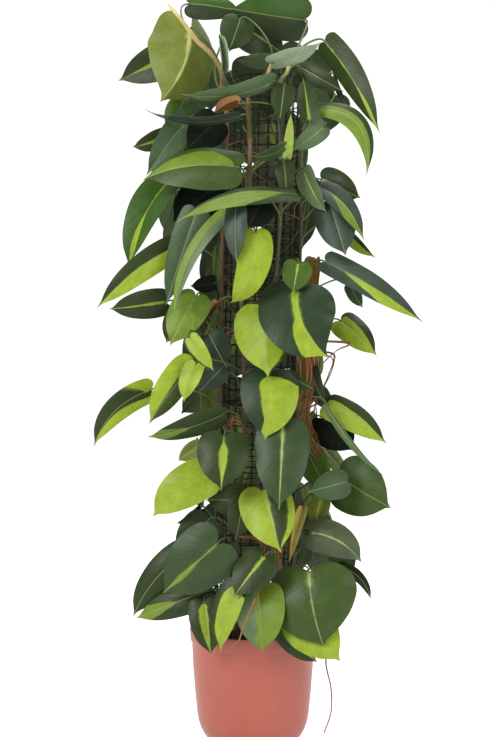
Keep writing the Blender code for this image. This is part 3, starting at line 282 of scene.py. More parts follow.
def midrib_frame(blade, v):
    """Point, direction, upward normal and way across of the midrib at share v of its length."""
    turn = blade.droop * (v - 0.5)
    radius = blade.length / blade.droop
    run = radius * (math.sin(turn) + math.sin(blade.droop / 2))
    rise = radius * (math.cos(turn) - math.cos(blade.droop / 2))
    side = blade.sweep * blade.length * 4 * v * (1 - v)
    point = blade.base + blade.along * run + blade.face * rise + blade.across * side
    direction = blade.along * math.cos(turn) - blade.face * math.sin(turn)
    normal = blade.face * math.cos(turn) + blade.along * math.sin(turn)
    slope = math.atan(blade.sweep * 4 * (1 - 2 * v))
    across = blade.across * math.cos(slope) - direction * math.sin(slope)
    direction = direction * math.cos(slope) + blade.across * math.sin(slope)
    return point, direction, normal, across


def on_blade(blade, u, v):
    """The point of the bent blade that u, v has on the flat one."""
    if v < 0:
        v *= blade.lobe
    centre, _, normal, across = midrib_frame(blade, v)
    half = blade.wide / 2
    out = abs(u) * blade.wide / OUTLINE_WIDTH
    share = out / half
    turned = blade.fold - blade.over * share
    if abs(blade.over) < FLAT_HALF:
        reach = out * math.cos(blade.fold)
        rise = out * math.sin(blade.fold)
    else:
        reach = (math.sin(blade.fold) - math.sin(turned)) * half / blade.over
        rise = (math.cos(turned) - math.cos(blade.fold)) * half / blade.over
    shift = RIPPLE_SHIFT if u > 0 else 0.0
    ripple = RIPPLE * half * share * share * math.sin(RIPPLE_WAVES * v + blade.wave + shift)
    return centre + across * math.copysign(reach, u) + normal * (rise + ripple)


def blade_normal(blade, u, v):
    """The upper face's direction at u, v, from two short steps on the blade."""
    over_u = on_blade(blade, u + NORMAL_STEP, v) - on_blade(blade, u - NORMAL_STEP, v)
    over_v = on_blade(blade, u, v + NORMAL_STEP) - on_blade(blade, u, v - NORMAL_STEP)
    return over_u.cross(over_v).normalized()


# %% [markdown]
# ## Where the leaves find room
# Leaves push each other aside as they grow, so no blade cuts through another. That could be left to
# the eye, leaf by leaf. Here each leaf takes the first place near its own where its coarse shell
# touches nothing that is already there, and its stalk the likeliest free spot on a stem.

# %% The coarse shell of a leaf
def leaf_solid(blade, stalk, grow=0.0):
    """Points and faces of a blade and its stalk as one closed shell, every face a triangle.

    The upper face ends at the stalk in two corners and the lower face in one, so the stalk has three
    sides. stalk lists its rings from the stem to the blade, each a point with its two half widths as
    vectors. grow makes the shell that much thicker all round."""
    shape = blade.shape
    half = BLADE_THICKNESS / 2 + grow
    edge = 1 + 2 * grow / max(blade.wide, LEAST_WIDE)
    sink = STALK_WIDTH / blade.wide * OUTLINE_WIDTH / 2
    outline = [(u * edge, v) for u, v in shape.outline]
    flat = outline + [(0.0, 1.0 + grow / blade.length)] + [(-u, v) for u, v in reversed(outline)]
    rim = len(flat)
    flat += [(0.0, v) for v in shape.spine]
    count = len(flat)
    points = []
    for side in (1, -1):
        for u, v in flat:
            points.append(on_blade(blade, u, v) + blade_normal(blade, u, v) * (side * half))
    notch = len(points)
    for u, side in ((-sink, 1), (sink, 1), (0.0, -1)):
        points.append(on_blade(blade, u, 0.0) + blade_normal(blade, u, 0.0) * (side * half))
    right = {"N": notch + 1, "Z": len(outline)}
    left = {"N": notch, "Z": len(outline)}
    for i, letter in enumerate("abcd"[:len(outline)]):
        right[letter] = i
        left[letter] = rim - 1 - i
    for i, letter in enumerate("ST"[:len(shape.spine)]):
        right[letter] = left[letter] = rim + i
    triangles = shape.triangles.split()
    top = [tuple(right[letter] for letter in triangle) for triangle in triangles]
    top += [tuple(left[letter] for letter in reversed(triangle)) for triangle in triangles]
    faces = list(top)
    faces.append((notch, notch + 1, rim))
    for triangle in top:
        under = [notch + 2 if i >= notch else i + count for i in triangle]
        faces.append((under[0], under[2], under[1]))
    loop = [notch + 1] + list(range(rim)) + [notch]
    for a, b in zip(loop, loop[1:]):
        under_a = notch + 2 if a >= notch else a + count
        under_b = notch + 2 if b >= notch else b + count
        faces += [(a, under_a, under_b), (a, under_b, b)]
    ring = [notch, notch + 1, notch + 2]
    for point, sideways, upward in reversed(stalk):
        start = len(points)
        sideways = sideways * (1 + grow / sideways.length)
        upward = upward * (1 + grow / upward.length)
        points += [point - sideways + upward, point + sideways + upward, point - upward]
        new = [start, start + 1, start + 2]
        for k in range(3):
            m = (k + 1) % 3
            faces += [(ring[k], new[k], new[m]), (ring[k], new[m], ring[m])]
        ring = new
    faces.append((ring[0], ring[2], ring[1]))
    return points, faces


def crosses_itself(points, faces):
    """Whether faces of a shell that don't share a corner touch each other."""
    tree = BVHTree.FromPolygons(points, faces)
    return any(not set(faces[a]) & set(faces[b]) for a, b in tree.overlap(tree))


def tube_solid(path, radius, sides):
    """Points and faces of a closed tube with flat ends along path. radius(share) gives its radius."""
    points = []
    faces = []
    side = (path[1] - path[0]).orthogonal().normalized()
    for i, centre in enumerate(path):
        ahead = path[min(i + 1, len(path) - 1)] - path[max(i - 1, 0)]
        ahead.normalize()
        side = (side - ahead * side.dot(ahead)).normalized()
        other = ahead.cross(side)
        r = radius(i / (len(path) - 1))
        for k in range(sides):
            angle = 2 * math.pi * k / sides
            points.append(centre + side * (math.cos(angle) * r) + other * (math.sin(angle) * r))
    for i in range(len(path) - 1):
        for k in range(sides):
            a = i * sides + k
            b = i * sides + (k + 1) % sides
            faces += [(a, b, b + sides), (a, b + sides, a + sides)]
    end = (len(path) - 1) * sides
    for k in range(1, sides - 1):
        faces += [(0, k + 1, k), (end, end + k, end + k + 1)]
    return points, faces


def smooth_path(corners, spacing):
    """Points about spacing apart on a smooth curve through the corners."""
    ends = [corners[0] * 2 - corners[1]] + list(corners) + [corners[-1] * 2 - corners[-2]]
    path = [corners[0]]
    for a, b, c, d in zip(ends, ends[1:], ends[2:], ends[3:]):
        steps = max(1, round((c - b).length / spacing))
        for i in range(1, steps + 1):
            t = i / steps
            path.append(0.5 * (2 * b + (c - a) * t + (2 * a - 5 * b + 4 * c - d) * t * t
                               + (3 * b - a - 3 * c + d) * t * t * t))
    return path


# %% Vines and aerial roots
Vine = namedtuple("Vine", "name angle top free_end")
VINES = [
    Vine("vine_front_left", -22.5, 1.215, [(262, 84, 8.5), (270, 68, 9.0), (272, 56, 9.5)]),
    Vine("vine_front_right", 22.5, 1.225, [(287, 72, 8.5), (290, 60, 7.5)]),
    Vine("vine_right_front", 67.5, 1.205, []),
    Vine("vine_right_back", 112.5, 1.165, []),
    Vine("vine_back_right", 157.5, 1.230, []),
    Vine("vine_back_left", -157.5, 1.210, []),
    Vine("vine_left_back", -112.5, 1.180, []),
    Vine("vine_left_front", -67.5, 1.190, [(222, 92, 5.0), (222, 75, 7.5), (214, 57, 9.5),
                                           (197, 41, 10.8), (183, 22, 11.2), (168, 4, 10.8)]),
]
STEM_AIR = 0.0007
STEM_PLAY = 0.001
FIRST_HOLD = 0.02
STRAY_DEGREES = 4.0
STRAY_WAVES = 1.3
FREE_END_STEP = 0.025
THIN_FROM = 0.9
THIN_RUN = 0.1
THINNER_BY = 0.30


def column_centre(height):
    """The leaning column's centre at a height."""
    share = (height - SOIL_TOP) / (COLUMN_TOP - SOIL_TOP)
    return Vector((COLUMN_LEAN * share, 0.0, height))


def outward(degrees):
    """The level direction away from the column at an angle from the front towards the right."""
    angle = math.radians(degrees)
    return Vector((math.sin(angle), -math.cos(angle), 0.0))


def vine_path(vine):
    """The centre line of a vine's stem, from its foot in the soil to its free end."""
    reach = COLUMN_RADIUS + BAR / 2 + STEM_RADIUS + GAP + STEM_AIR
    corners = [column_centre(SOIL_TOP - STEM_IN_SOIL) + outward(vine.angle) * (reach + STEM_PLAY)]
    climb = vine.top - SOIL_TOP - FIRST_HOLD
    steps = round(climb / STEM_STEP)
    for i in range(steps + 1):
        height = SOIL_TOP + FIRST_HOLD + climb * i / steps
        stray = 0 if i == 0 else STRAY_DEGREES * math.sin(STRAY_WAVES * i + vine.angle)
        away = reach / math.cos(math.radians(stray)) + STEM_PLAY
        corners.append(column_centre(height) + outward(vine.angle + stray) * away)
    if vine.free_end:
        free = [corners[-1]] + [seen_at(*place) for place in vine.free_end]
        corners += smooth_path(free, FREE_END_STEP)[1:]
    return corners


def along_path(path, spacing):
    """Points on a path of straight pieces, about spacing apart."""
    places = [path[0]]
    for a, b in zip(path, path[1:]):
        steps = max(1, round((b - a).length / spacing))
        places += [a.lerp(b, i / steps) for i in range(1, steps + 1)]
    return places


def stem_taper(share):
    """A stem's radius, which shrinks towards its free end."""
    return STEM_RADIUS * (1.0 - THINNER_BY * max(0.0, share - THIN_FROM) / THIN_RUN)


ROOT_RADIUS = 0.0012
ROOTS = [
    ("vine_right_front", 1.7, [(316, 612, 5.0), (327, 640, 6.0), (326, 664, 6.0), (331, 688, 5.5),
                               (331, 712, 5.0), (324, 733, 4.5)]),
    ("vine_front_left", 1.7, [(259, 582, 13.0), (252, 606, 19.0), (243, 628, 20.5), (239, 640, 19.5),
                              (231, 648, 17.5)]),
    ("vine_right_front", 1.0, [(331, 357, 7.0), (328, 376, 8.0), (319, 396, 8.0), (312, 420, 7.5)]),
    ("vine_right_front", 1.0, [(318, 350, 6.0), (319, 375, 7.5), (316, 400, 7.0), (309, 432, 7.0)]),
    ("vine_right_front", 1.2, [(306, 350, 7.0), (309, 385, 8.5), (306, 420, 8.5), (318, 452, 8.5)]),
]


def root_corners(vine_name, places):
    """A root's course, which starts inside the nearest part of the vine that it grows from."""
    course = [seen_at(*place) for place in places]
    vine = next(v for v in VINES if v.name == vine_name)
    start = min(along_path(vine_path(vine), CM), key=lambda place: (place - course[0]).length)
    return [start] + course


# %% Stalks
STALK_SHARES = (0.0, 0.42, 0.80)
SHORT_STALK_SHARES = (0.0, 0.62)
SHORT_STALK = 0.07
ELBOW = 0.030
ELBOW_SHARE = 0.35
FIRST_SHARE = 0.38
OUT_OF_STEM = 0.35
UP_FROM_STEM = 0.30
UNDER_BLADE = 0.35
ABOVE_BLADE = 0.25


def stalk_course(node, blade, lean):
    """The stalk's curve from a node on the stem to the blade, as its four control points."""
    start, away = node
    end, direction, normal, _ = midrib_frame(blade, 0.0)
    span = (end - start).length
    elbow = min(ELBOW, ELBOW_SHARE * span)
    up = Vector((0, 0, 1))
    way = (away * OUT_OF_STEM + up * UP_FROM_STEM + away.cross(up) * lean).normalized()
    first = start + way * span * FIRST_SHARE
    second = end - direction * elbow - normal * (UNDER_BLADE * elbow) + up * (ABOVE_BLADE * elbow)
    return start, first, second, end


def stalk_shares(course):
    """Where along its curve a stalk has its rings."""
    return SHORT_STALK_SHARES if (course[3] - course[0]).length < SHORT_STALK else STALK_SHARES


def curve_point(course, t):
    """The point at share t of a stalk's curve."""
    a, b, c, d = course
    s = 1 - t
    return a * (s ** 3) + b * (3 * s * s * t) + c * (3 * s * t * t) + d * (t ** 3)


def stalk_rings(course, blade, shares, half_width):
    """The stalk's rings at the given shares of its curve, turned steadily from the blade's own."""
    a, b, c, d = course
    _, direction, upward, sideways = midrib_frame(blade, 0.0)
    rings = []
    for t in reversed(shares):
        s = 1 - t
        point = curve_point(course, t)
        ahead = ((b - a) * (s * s) + (c - b) * (2 * s * t) + (d - c) * (t * t)).normalized()
        turn = direction.rotation_difference(ahead)
        sideways.rotate(turn)
        upward.rotate(turn)
        direction = ahead
        rings.append((point, sideways * half_width, upward * half_width))
    return list(reversed(rings))


# %% Room to grow
CLEARANCE = 0.0013
DEPTH_SLIDES = (0, 1, -1, 2, -2, 3, -3, 4, -4, 5, -5, 6, -6, 7, -7)
TIP_SLIDES = (0, 2, -2, 4, -4)
TURNS = (0, 10, -10, 20, -20)
STALK_LEANS = (0.0, 0.25, -0.25, 0.55, -0.55)
WAVE_PHASE = (0, 6)
SEEN_STEM_CHOICES = 6
SIDE_STEM_CHOICES = 8
GAP_STEM_CHOICES = 3
NODE_STEP = 0.008
NODE_SPACING = 0.017
CHOICE_SPACING = 0.014
BELOW_BLADE = 0.025
STEEP_COST = 2.0
CROWD_COST = 0.06
INWARD_COST = 0.08
INWARD_BELOW = 0.3
STALK_ROOM = 0.65
POT_AIR = 0.002
RIM_AIR = 0.003
COLUMN_AIR = 0.0005
ABOVE_COLUMN = 0.003
ROOM_AT_STEM = 0.0012
ROOM_AT_ROOT = 0.001
ROOT_STEP = 0.03
ROUND_SIDES = 32
POT_SHELL = [(0.001, SOIL_TOP + POT_AIR), (RIM_RADIUS - 0.006, SOIL_TOP + POT_AIR),
             (RIM_RADIUS - 0.005, POT_HEIGHT + POT_AIR), (RIM_RADIUS + RIM_AIR, POT_HEIGHT + POT_AIR),
             (RIM_RADIUS + RIM_AIR, POT_HEIGHT - 0.03), (0.112, 0.10), (0.102, 0.03), (0.08, -0.001)]


def box_of(points):
    """The lowest and highest corner of some points."""
    return ([min(p[i] for p in points) for i in range(3)],
            [max(p[i] for p in points) for i in range(3)])


class Room:
    """The solids placed so far, to find out what a new one would touch."""

    def __init__(self):
        self.taken = []

    def add(self, points, faces, owner=""):
        """Adds a shell, which other shells of its owner may touch."""
        low, high = box_of(points)
        self.taken.append((low, high, BVHTree.FromPolygons(points, faces), owner))

    def is_free(self, points, faces, owner="none"):
        """Whether a shell touches nothing, apart from what belongs to its owner."""
        low, high = box_of(points)
        tree = None
        for other_low, other_high, other, other_owner in self.taken:
            if other_owner == owner:
                continue
            if any(low[i] > other_high[i] or high[i] < other_low[i] for i in range(3)):
                continue
            tree = tree or BVHTree.FromPolygons(points, faces)
            if tree.overlap(other):
                return False
        return True


def turned_shell(profile, steps):
    """Points and faces of a shell turned round the axis."""
    points = [Vector((r * math.sin(2 * math.pi * k / steps), -r * math.cos(2 * math.pi * k / steps), z))
              for r, z in profile for k in range(steps)]
    faces = []
    for i in range(len(profile) - 1):
        for k in range(steps):
            m = (k + 1) % steps
            faces.append((i * steps + k, i * steps + m, (i + 1) * steps + m, (i + 1) * steps + k))
    return points, faces


def keep_clear_of_fixed(room):
    """Adds what the leaves grow round: the pot with its soil, the column, the stems and the roots."""
    room.add(*turned_shell(POT_SHELL, ROUND_SIDES))
    column = [column_centre(SOIL_TOP), column_centre(COLUMN_TOP + ABOVE_COLUMN)]
    room.add(*tube_solid(column, lambda share: COLUMN_RADIUS + BAR / 2 + COLUMN_AIR, ROUND_SIDES))
    for vine in VINES:
        room.add(*tube_solid(vine_path(vine), lambda share: STEM_RADIUS + ROOM_AT_STEM, 6), vine.name)
    for name, thickness, places in ROOTS:
        path = smooth_path(root_corners(name, places), ROOT_STEP)
        room.add(*tube_solid(path, lambda share: ROOT_RADIUS * thickness + ROOM_AT_ROOT, 4), name)


def all_nodes():
    """Every place where a stalk could leave a stem: its vine, the point and the way out."""
    nodes = []
    for vine in VINES:
        for point in along_path(vine_path(vine), NODE_STEP):
            if point.z > SOIL_TOP + FIRST_HOLD:
                away = point - column_centre(point.z)
                nodes.append((vine.name, point, away.normalized()))
    return nodes


def likely_nodes(nodes, used, end, limit):
    """The nodes that a stalk would come from, the likeliest first."""
    ranked = []
    for name, point, away in nodes:
        steep = max(0.0, point.z - (end.z - BELOW_BLADE))
        crowd = any(owner == name and (point - other).length < NODE_SPACING for owner, other in used)
        inward = max(0.0, INWARD_BELOW - (end - point).normalized().dot(away))
        cost = ((end - point).length + STEEP_COST * steep + (CROWD_COST if crowd else 0.0)
                + INWARD_COST * inward)
        ranked.append((cost, name, point, away))
    ranked.sort(key=lambda item: item[0])
    picked = []
    for _, name, point, away in ranked:
        if all(other[0] != name or (other[1] - point).length > CHOICE_SPACING for other in picked):
            picked.append((name, point, away))
        if len(picked) == limit:
            break
    return picked


def seen_blade(item, near, tip_near, room_to_turn):
    """The blade of a leaf of the list, slid towards the viewer by near centimetres."""
    base = seen_at(*item.base, item.depth[0] + near)
    tip = seen_at(*item.tip, item.depth[1] + near + tip_near)
    middle = (base + tip) / 2
    along = (tip - base).normalized()
    viewer = (EYE - middle).normalized()
    towards = (viewer - along * viewer.dot(along)).normalized()
    roll = math.radians(item.roll + room_to_turn)
    facing = towards * math.cos(roll) + along.cross(towards) * math.sin(roll)
    over, fold = math.radians(item.over), math.radians(item.fold)
    if abs(over) > FLAT_HALF:
        shrink = (math.sin(fold) - math.sin(fold - over)) / over
    else:
        shrink = math.cos(fold)
    wide = item.wide * GRID * (1 + (item.depth[0] + near) * CM / EYE.y) / shrink
    wave = random.Random(item.name).uniform(*WAVE_PHASE)
    shape = BROAD if wide >= BROAD_FROM else PLAIN
    return make_blade(base, tip, facing, wide, item.droop, item.fold, item.over, item.sweep, item.lobe,
                      wave, shape)


def blade_choices(item):
    """The blade as listed, then the same blade slid and tipped little by little."""
    for turn in TURNS:
        for tip_near in TIP_SLIDES:
            for near in DEPTH_SLIDES:
                yield seen_blade(item, near, tip_near, turn)


def grow_leaf(choices, nodes, used, room, node_limit):
    """The first choice of blade and stalk that touches nothing, as its vine, blade and stalk course."""
    stalk_half = STALK_WIDTH * STALK_ROOM + CLEARANCE
    for blade in choices:
        flat_points, flat_faces = leaf_solid(blade, [], CLEARANCE)
        if crosses_itself(*leaf_solid(blade, [])) or not room.is_free(flat_points, flat_faces):
            continue
        for name, point, away in likely_nodes(nodes, used, blade.base, node_limit):
            for lean in STALK_LEANS:
                course = stalk_course((point, away), blade, lean)
                rings = stalk_rings(course, blade, stalk_shares(course), STALK_WIDTH / 2)
                path = [ring[0] for ring in rings] + [blade.base]
                stalk_points, stalk_faces = tube_solid(path, lambda share: stalk_half, 4)
                if not room.is_free(stalk_points, stalk_faces, name):
                    continue
                if crosses_itself(*leaf_solid(blade, rings)):
                    continue
                room.add(flat_points, flat_faces)
                room.add(*tube_solid(path[:2], lambda share: stalk_half, 4), name)
                room.add(*tube_solid(path[1:], lambda share: stalk_half, 4))
                used.append((name, point))
                return name, blade, course
    return None


# %% [markdown]
# ## Leaves at the sides, at the back and in the gaps
# Only the front is in the photograph, and the real plant is leafy all round. Copies of the front
# leaves would repeat, so these leaves are drawn by a seeded rule within the plant's outline: so many
# on each vine of the sides and the back, and more where the front view would still look through.

# %% The outline and the rule
OUTLINE_ROWS = [(0, 195, 310), (50, 150, 330), (80, 160, 350), (110, 170, 350), (130, 160, 330),
                (140, 157, 306), (166, 150, 306), (174, 148, 350), (200, 138, 352), (216, 138, 345),
                (228, 150, 302), (256, 160, 302), (264, 210, 302), (288, 210, 302), (300, 150, 344),
                (312, 168, 340), (345, 180, 322), (395, 188, 318), (412, 170, 340), (425, 170, 345),
                (440, 190, 348), (480, 180, 375), (496, 190, 352), (508, 200, 330), (524, 200, 330),
                (534, 172, 350), (545, 165, 356), (600, 150, 354), (650, 195, 338)]


def inside_outline(column, row, margin=0):
    """Whether a place of the front view is inside the plant's outline, give or take a margin."""
    for (row_a, left_a, right_a), (row_b, left_b, right_b) in zip(OUTLINE_ROWS, OUTLINE_ROWS[1:]):
        if row_a <= row <= row_b:
            share = (row - row_a) / (row_b - row_a)
            left = left_a + (left_b - left_a) * share - margin
            right = right_a + (right_b - right_a) * share + margin
            return left < column < right
    return False


FILLER_STEP = 0.085
FILLER_REACH = (0.125, 0.195)
FILLER_SIZE = (0.105, 0.160)
FILLER_STEEP = (50, 84)
FILLER_ATTEMPTS = 14
CLOSE_REACH = (0.092, 0.118)
CLOSE_STEEP = (80, 96)
CLOSE_BEND = 0.45
CLOSE_MARGIN = 8
FILLER_LEVEL = (-0.02, 0.03)
FILLER_LEAN = (-0.45, 0.45)
LOWEST_FILLER = 0.235
LOWEST_RUNG = 0.075
RUNGS_SHORT_BY = 0.06
DRAWN_WIDTH = (0.70, 0.84)
DRAWN_DROOP = (20, 45)
DRAWN_FOLD = (5, 15)
DRAWN_OVER = (25, 45)
FILLERS_ON = {"vine_right_front": (60, 95), "vine_right_back": (85, 140),
              "vine_back_right": (125, 185), "vine_back_left": (-185, -125),
              "vine_left_back": (-140, -85), "vine_left_front": (-95, -60)}
GAP_GRID = 8
GAP_ROWS = range(64, 640, GAP_GRID)
GAP_COLUMNS = range(124, 380, GAP_GRID)
GAP_LEAVES = 60
GAP_LEAF_SIZE = (0.110, 0.155)
SMALL_GAP_LEAF_SIZE = (0.065, 0.110)
GAP_LEAF_DEPTH = (-17, -9)
GAP_ATTEMPTS = 24
GAP_NEARER_AFTER = 10
GAP_NEARER = (0, 4)
GAP_STRAY = (-8, 8)
GAP_TILT = (-55, 55)
GAP_LEAN = (-5, 35)
GAP_MIDDLE = 250
BEFORE_GAP = 0.45
PAST_GAP = 0.55
GAP_SIDEWAYS = (-0.5, 0.5)
GAP_UPWARD = (0.0, 0.6)
LAYOUT_SEED = 11
OUTLINE_CHECKS = ((0, 0), (0.43, 0.1), (-0.43, 0.1), (0.3, 0.5), (-0.3, 0.5), (0, 1))


def inside_whole(blade, margin=0):
    """Whether a blade stays inside the plant's outline in the front view, and above the soil."""
    places = [on_blade(blade, u, v) for u, v in OUTLINE_CHECKS]
    return all(inside_outline(*seen_place(place), margin) and place.z > LOWEST_FILLER
               for place in places)


def filler_blades(draw, height, angles, turn):
    """Some blades near a height within a range of angles round the column, drawn by a seeded rule."""
    blades = []
    low, high = angles
    for attempt in range(2 * FILLER_ATTEMPTS):
        close = attempt >= FILLER_ATTEMPTS
        share = draw.uniform(0.0, 0.5) + 0.5 * turn
        way = outward(low + (high - low) * share)
        level = height + draw.uniform(*FILLER_LEVEL)
        base = column_centre(level) + way * draw.uniform(*(CLOSE_REACH if close else FILLER_REACH))
        down = math.radians(draw.uniform(*(CLOSE_STEEP if close else FILLER_STEEP)))
        size = draw.uniform(*FILLER_SIZE)
        up = Vector((0, 0, 1))
        sideways = up.cross(way) * draw.uniform(*FILLER_LEAN)
        tip = base + (way * math.cos(down) + sideways - up * math.sin(down)).normalized() * size
        facing = way * math.sin(down) + up * math.cos(down) + sideways * draw.uniform(-1, 1)
        blade = drawn_blade(draw, base, tip, facing, size, CLOSE_BEND if close else 1.0)
        if inside_whole(blade, CLOSE_MARGIN if close else 0):
            blades.append(blade)
    return blades


def drawn_blade(draw, base, tip, facing, size, bend=1.0):
    """A blade between two points with its bends drawn by a seeded rule."""
    return make_blade(base, tip, facing, size * draw.uniform(*DRAWN_WIDTH),
                      bend * draw.uniform(*DRAWN_DROOP), bend * draw.uniform(*DRAWN_FOLD),
                      bend * draw.uniform(*DRAWN_OVER), 0.0, 1.0, draw.uniform(*WAVE_PHASE), PLAIN)


def still_open(gaps, blade):
    """The places of the front view that a blade leaves open."""
    tree = BVHTree.FromPolygons(*leaf_solid(blade, []))
    left = []
    for column, row in gaps:
        way = (seen_at(column, row, 0) - EYE).normalized()
        if tree.ray_cast(EYE, way)[0] is None:
            left.append((column, row))
    return left


def gap_blades(draw, gaps):
    """Some blades behind the widest gap of the front view, and the place of that gap."""
    reach = 3 * GAP_GRID
    crowd = {place: 0 for place in gaps}
    for place in gaps:
        for other in gaps:
            if abs(place[0] - other[0]) <= reach and abs(place[1] - other[1]) <= reach:
                crowd[place] += 1
    spot = max(gaps, key=lambda place: (crowd[place], -place[1], -abs(place[0] - GAP_MIDDLE)))
    blades = []
    for attempt in range(GAP_ATTEMPTS):
        size = draw.uniform(*(GAP_LEAF_SIZE if attempt < GAP_ATTEMPTS / 2 else SMALL_GAP_LEAF_SIZE))
        depth = draw.uniform(*GAP_LEAF_DEPTH)
        depth += 0 if attempt < GAP_NEARER_AFTER else draw.uniform(*GAP_NEARER)
        middle = seen_at(spot[0] + draw.uniform(*GAP_STRAY), spot[1] + draw.uniform(*GAP_STRAY), depth)
        tilt = math.radians(draw.uniform(*GAP_TILT))
        lean = math.radians(draw.uniform(*GAP_LEAN))
        way = Vector((math.sin(tilt) * math.cos(lean), math.sin(lean),
                      -math.cos(tilt) * math.cos(lean)))
        base = middle - way * (size * BEFORE_GAP)
        tip = middle + way * (size * PAST_GAP)
        facing = Vector((draw.uniform(*GAP_SIDEWAYS), 1.0, draw.uniform(*GAP_UPWARD)))
        blade = drawn_blade(draw, base, tip, facing, size)
        if inside_whole(blade):
            blades.append(blade)
    return blades, spot


# %% Grow every leaf
def lay_out():
    """Every leaf with its vine, blade and stalk: the seen ones, then those that fill gaps and sides."""
    room = Room()
    keep_clear_of_fixed(room)
    nodes = all_nodes()
    used = []
    grown = []
    gaps = [(column, row) for row in GAP_ROWS for column in GAP_COLUMNS if inside_outline(column, row)]
    for item in SEEN_LEAVES:
        found = grow_leaf(blade_choices(item), nodes, used, room, SEEN_STEM_CHOICES)
        if found is None:
            print("no room for", item.name)
        else:
            grown.append((item.name,) + found)
            gaps = still_open(gaps, found[1])
    draw = random.Random(LAYOUT_SEED)
    for vine in VINES:
        if vine.name in FILLERS_ON:
            rungs = int((vine.top - SOIL_TOP - RUNGS_SHORT_BY) / FILLER_STEP)
            for i in range(rungs + 1):
                height = SOIL_TOP + LOWEST_RUNG + i * FILLER_STEP
                blades = filler_blades(draw, height, FILLERS_ON[vine.name], i % 2)
                found = grow_leaf(blades, nodes, used, room, SIDE_STEM_CHOICES)
                if found is not None:
                    grown.append((f"{vine.name}_{i}",) + found)
                    gaps = still_open(gaps, found[1])
    for i in range(GAP_LEAVES):
        if not gaps:
            break
        blades, spot = gap_blades(draw, gaps)
        found = grow_leaf(blades, nodes, used, room, GAP_STEM_CHOICES)
        gaps = [place for place in gaps if place != spot]
        if found is not None:
            grown.append((f"inner_{i}",) + found)
            gaps = still_open(gaps, found[1])
    print(len(grown), "leaves grown,", len(gaps), "places still open")
    return grown


GROWN = lay_out()

# %% [markdown]
# ## The markings
# Each leaf of this plant is painted differently: dark green, with a lime band that follows the
# midrib, fills a half or covers the whole blade. A photograph could be laid on the leaves, but it
# would hold one view's light. So every leaf has its two tones and its lime bands as numbers. A band
# lies between two shares of the half blade, first at the base and then at the tip: 0 is the midrib
# and 1 the margin, on the left of a hanging leaf, on top of one that points left, and below one that
# points right. -1 is the other margin. Two more numbers may give where along the leaf it begins
# and ends.

# %% Tones
ALL = (-2, 2, -2, 2)
TONES = {
    # The greyish slate, sage and mint tones are partly the leaves' own green and partly painted sheen:
    # the grey reflection of the bright room put into the base colour.
    "dark": (42, 57, 18), "mid": (62, 90, 22), "slate": (52, 66, 52), "sage": (90, 112, 74),
    # The darkest tone is painted shade: it stands for the shade that falls deep inside the plant.
    "black": (15, 22, 10), "grey": (60, 80, 50), "blue": (38, 56, 30), "olive": (104, 116, 44),
    "lime": (138, 160, 42), "pale": (150, 162, 86), "cream": (190, 186, 118), "brown": (86, 58, 34),
    "ochre": (160, 130, 54), "shoot": (200, 184, 118), "moss": (104, 126, 40),
    "forest": (56, 76, 26), "dusk": (38, 52, 18), "mint": (150, 166, 136),
    "ash": (72, 82, 58), "shadow": (34, 42, 30), "bud": (138, 160, 70), "grass": (92, 118, 34),
    "pine": (52, 70, 38), "bottle": (26, 44, 24), "husk": (150, 112, 74), "straw": (186, 170, 96),
    "leafy": (52, 82, 20), "stem": (62, 62, 34), "stem_low": (58, 48, 32), "stalk": (84, 98, 46),
    "stalk_dark": (52, 60, 30), "bark": (112, 84, 52), "root": (112, 76, 46),
    "root_pale": (172, 120, 76), "root_dark": (54, 38, 26), "root_free": (150, 94, 70),
    "root_warm": (184, 122, 72),
}


def linear(tone):
    """A tone's red, green and blue as light, from 0 to 1."""
    return tuple((level / 255) ** 2.2 for level in TONES[tone])
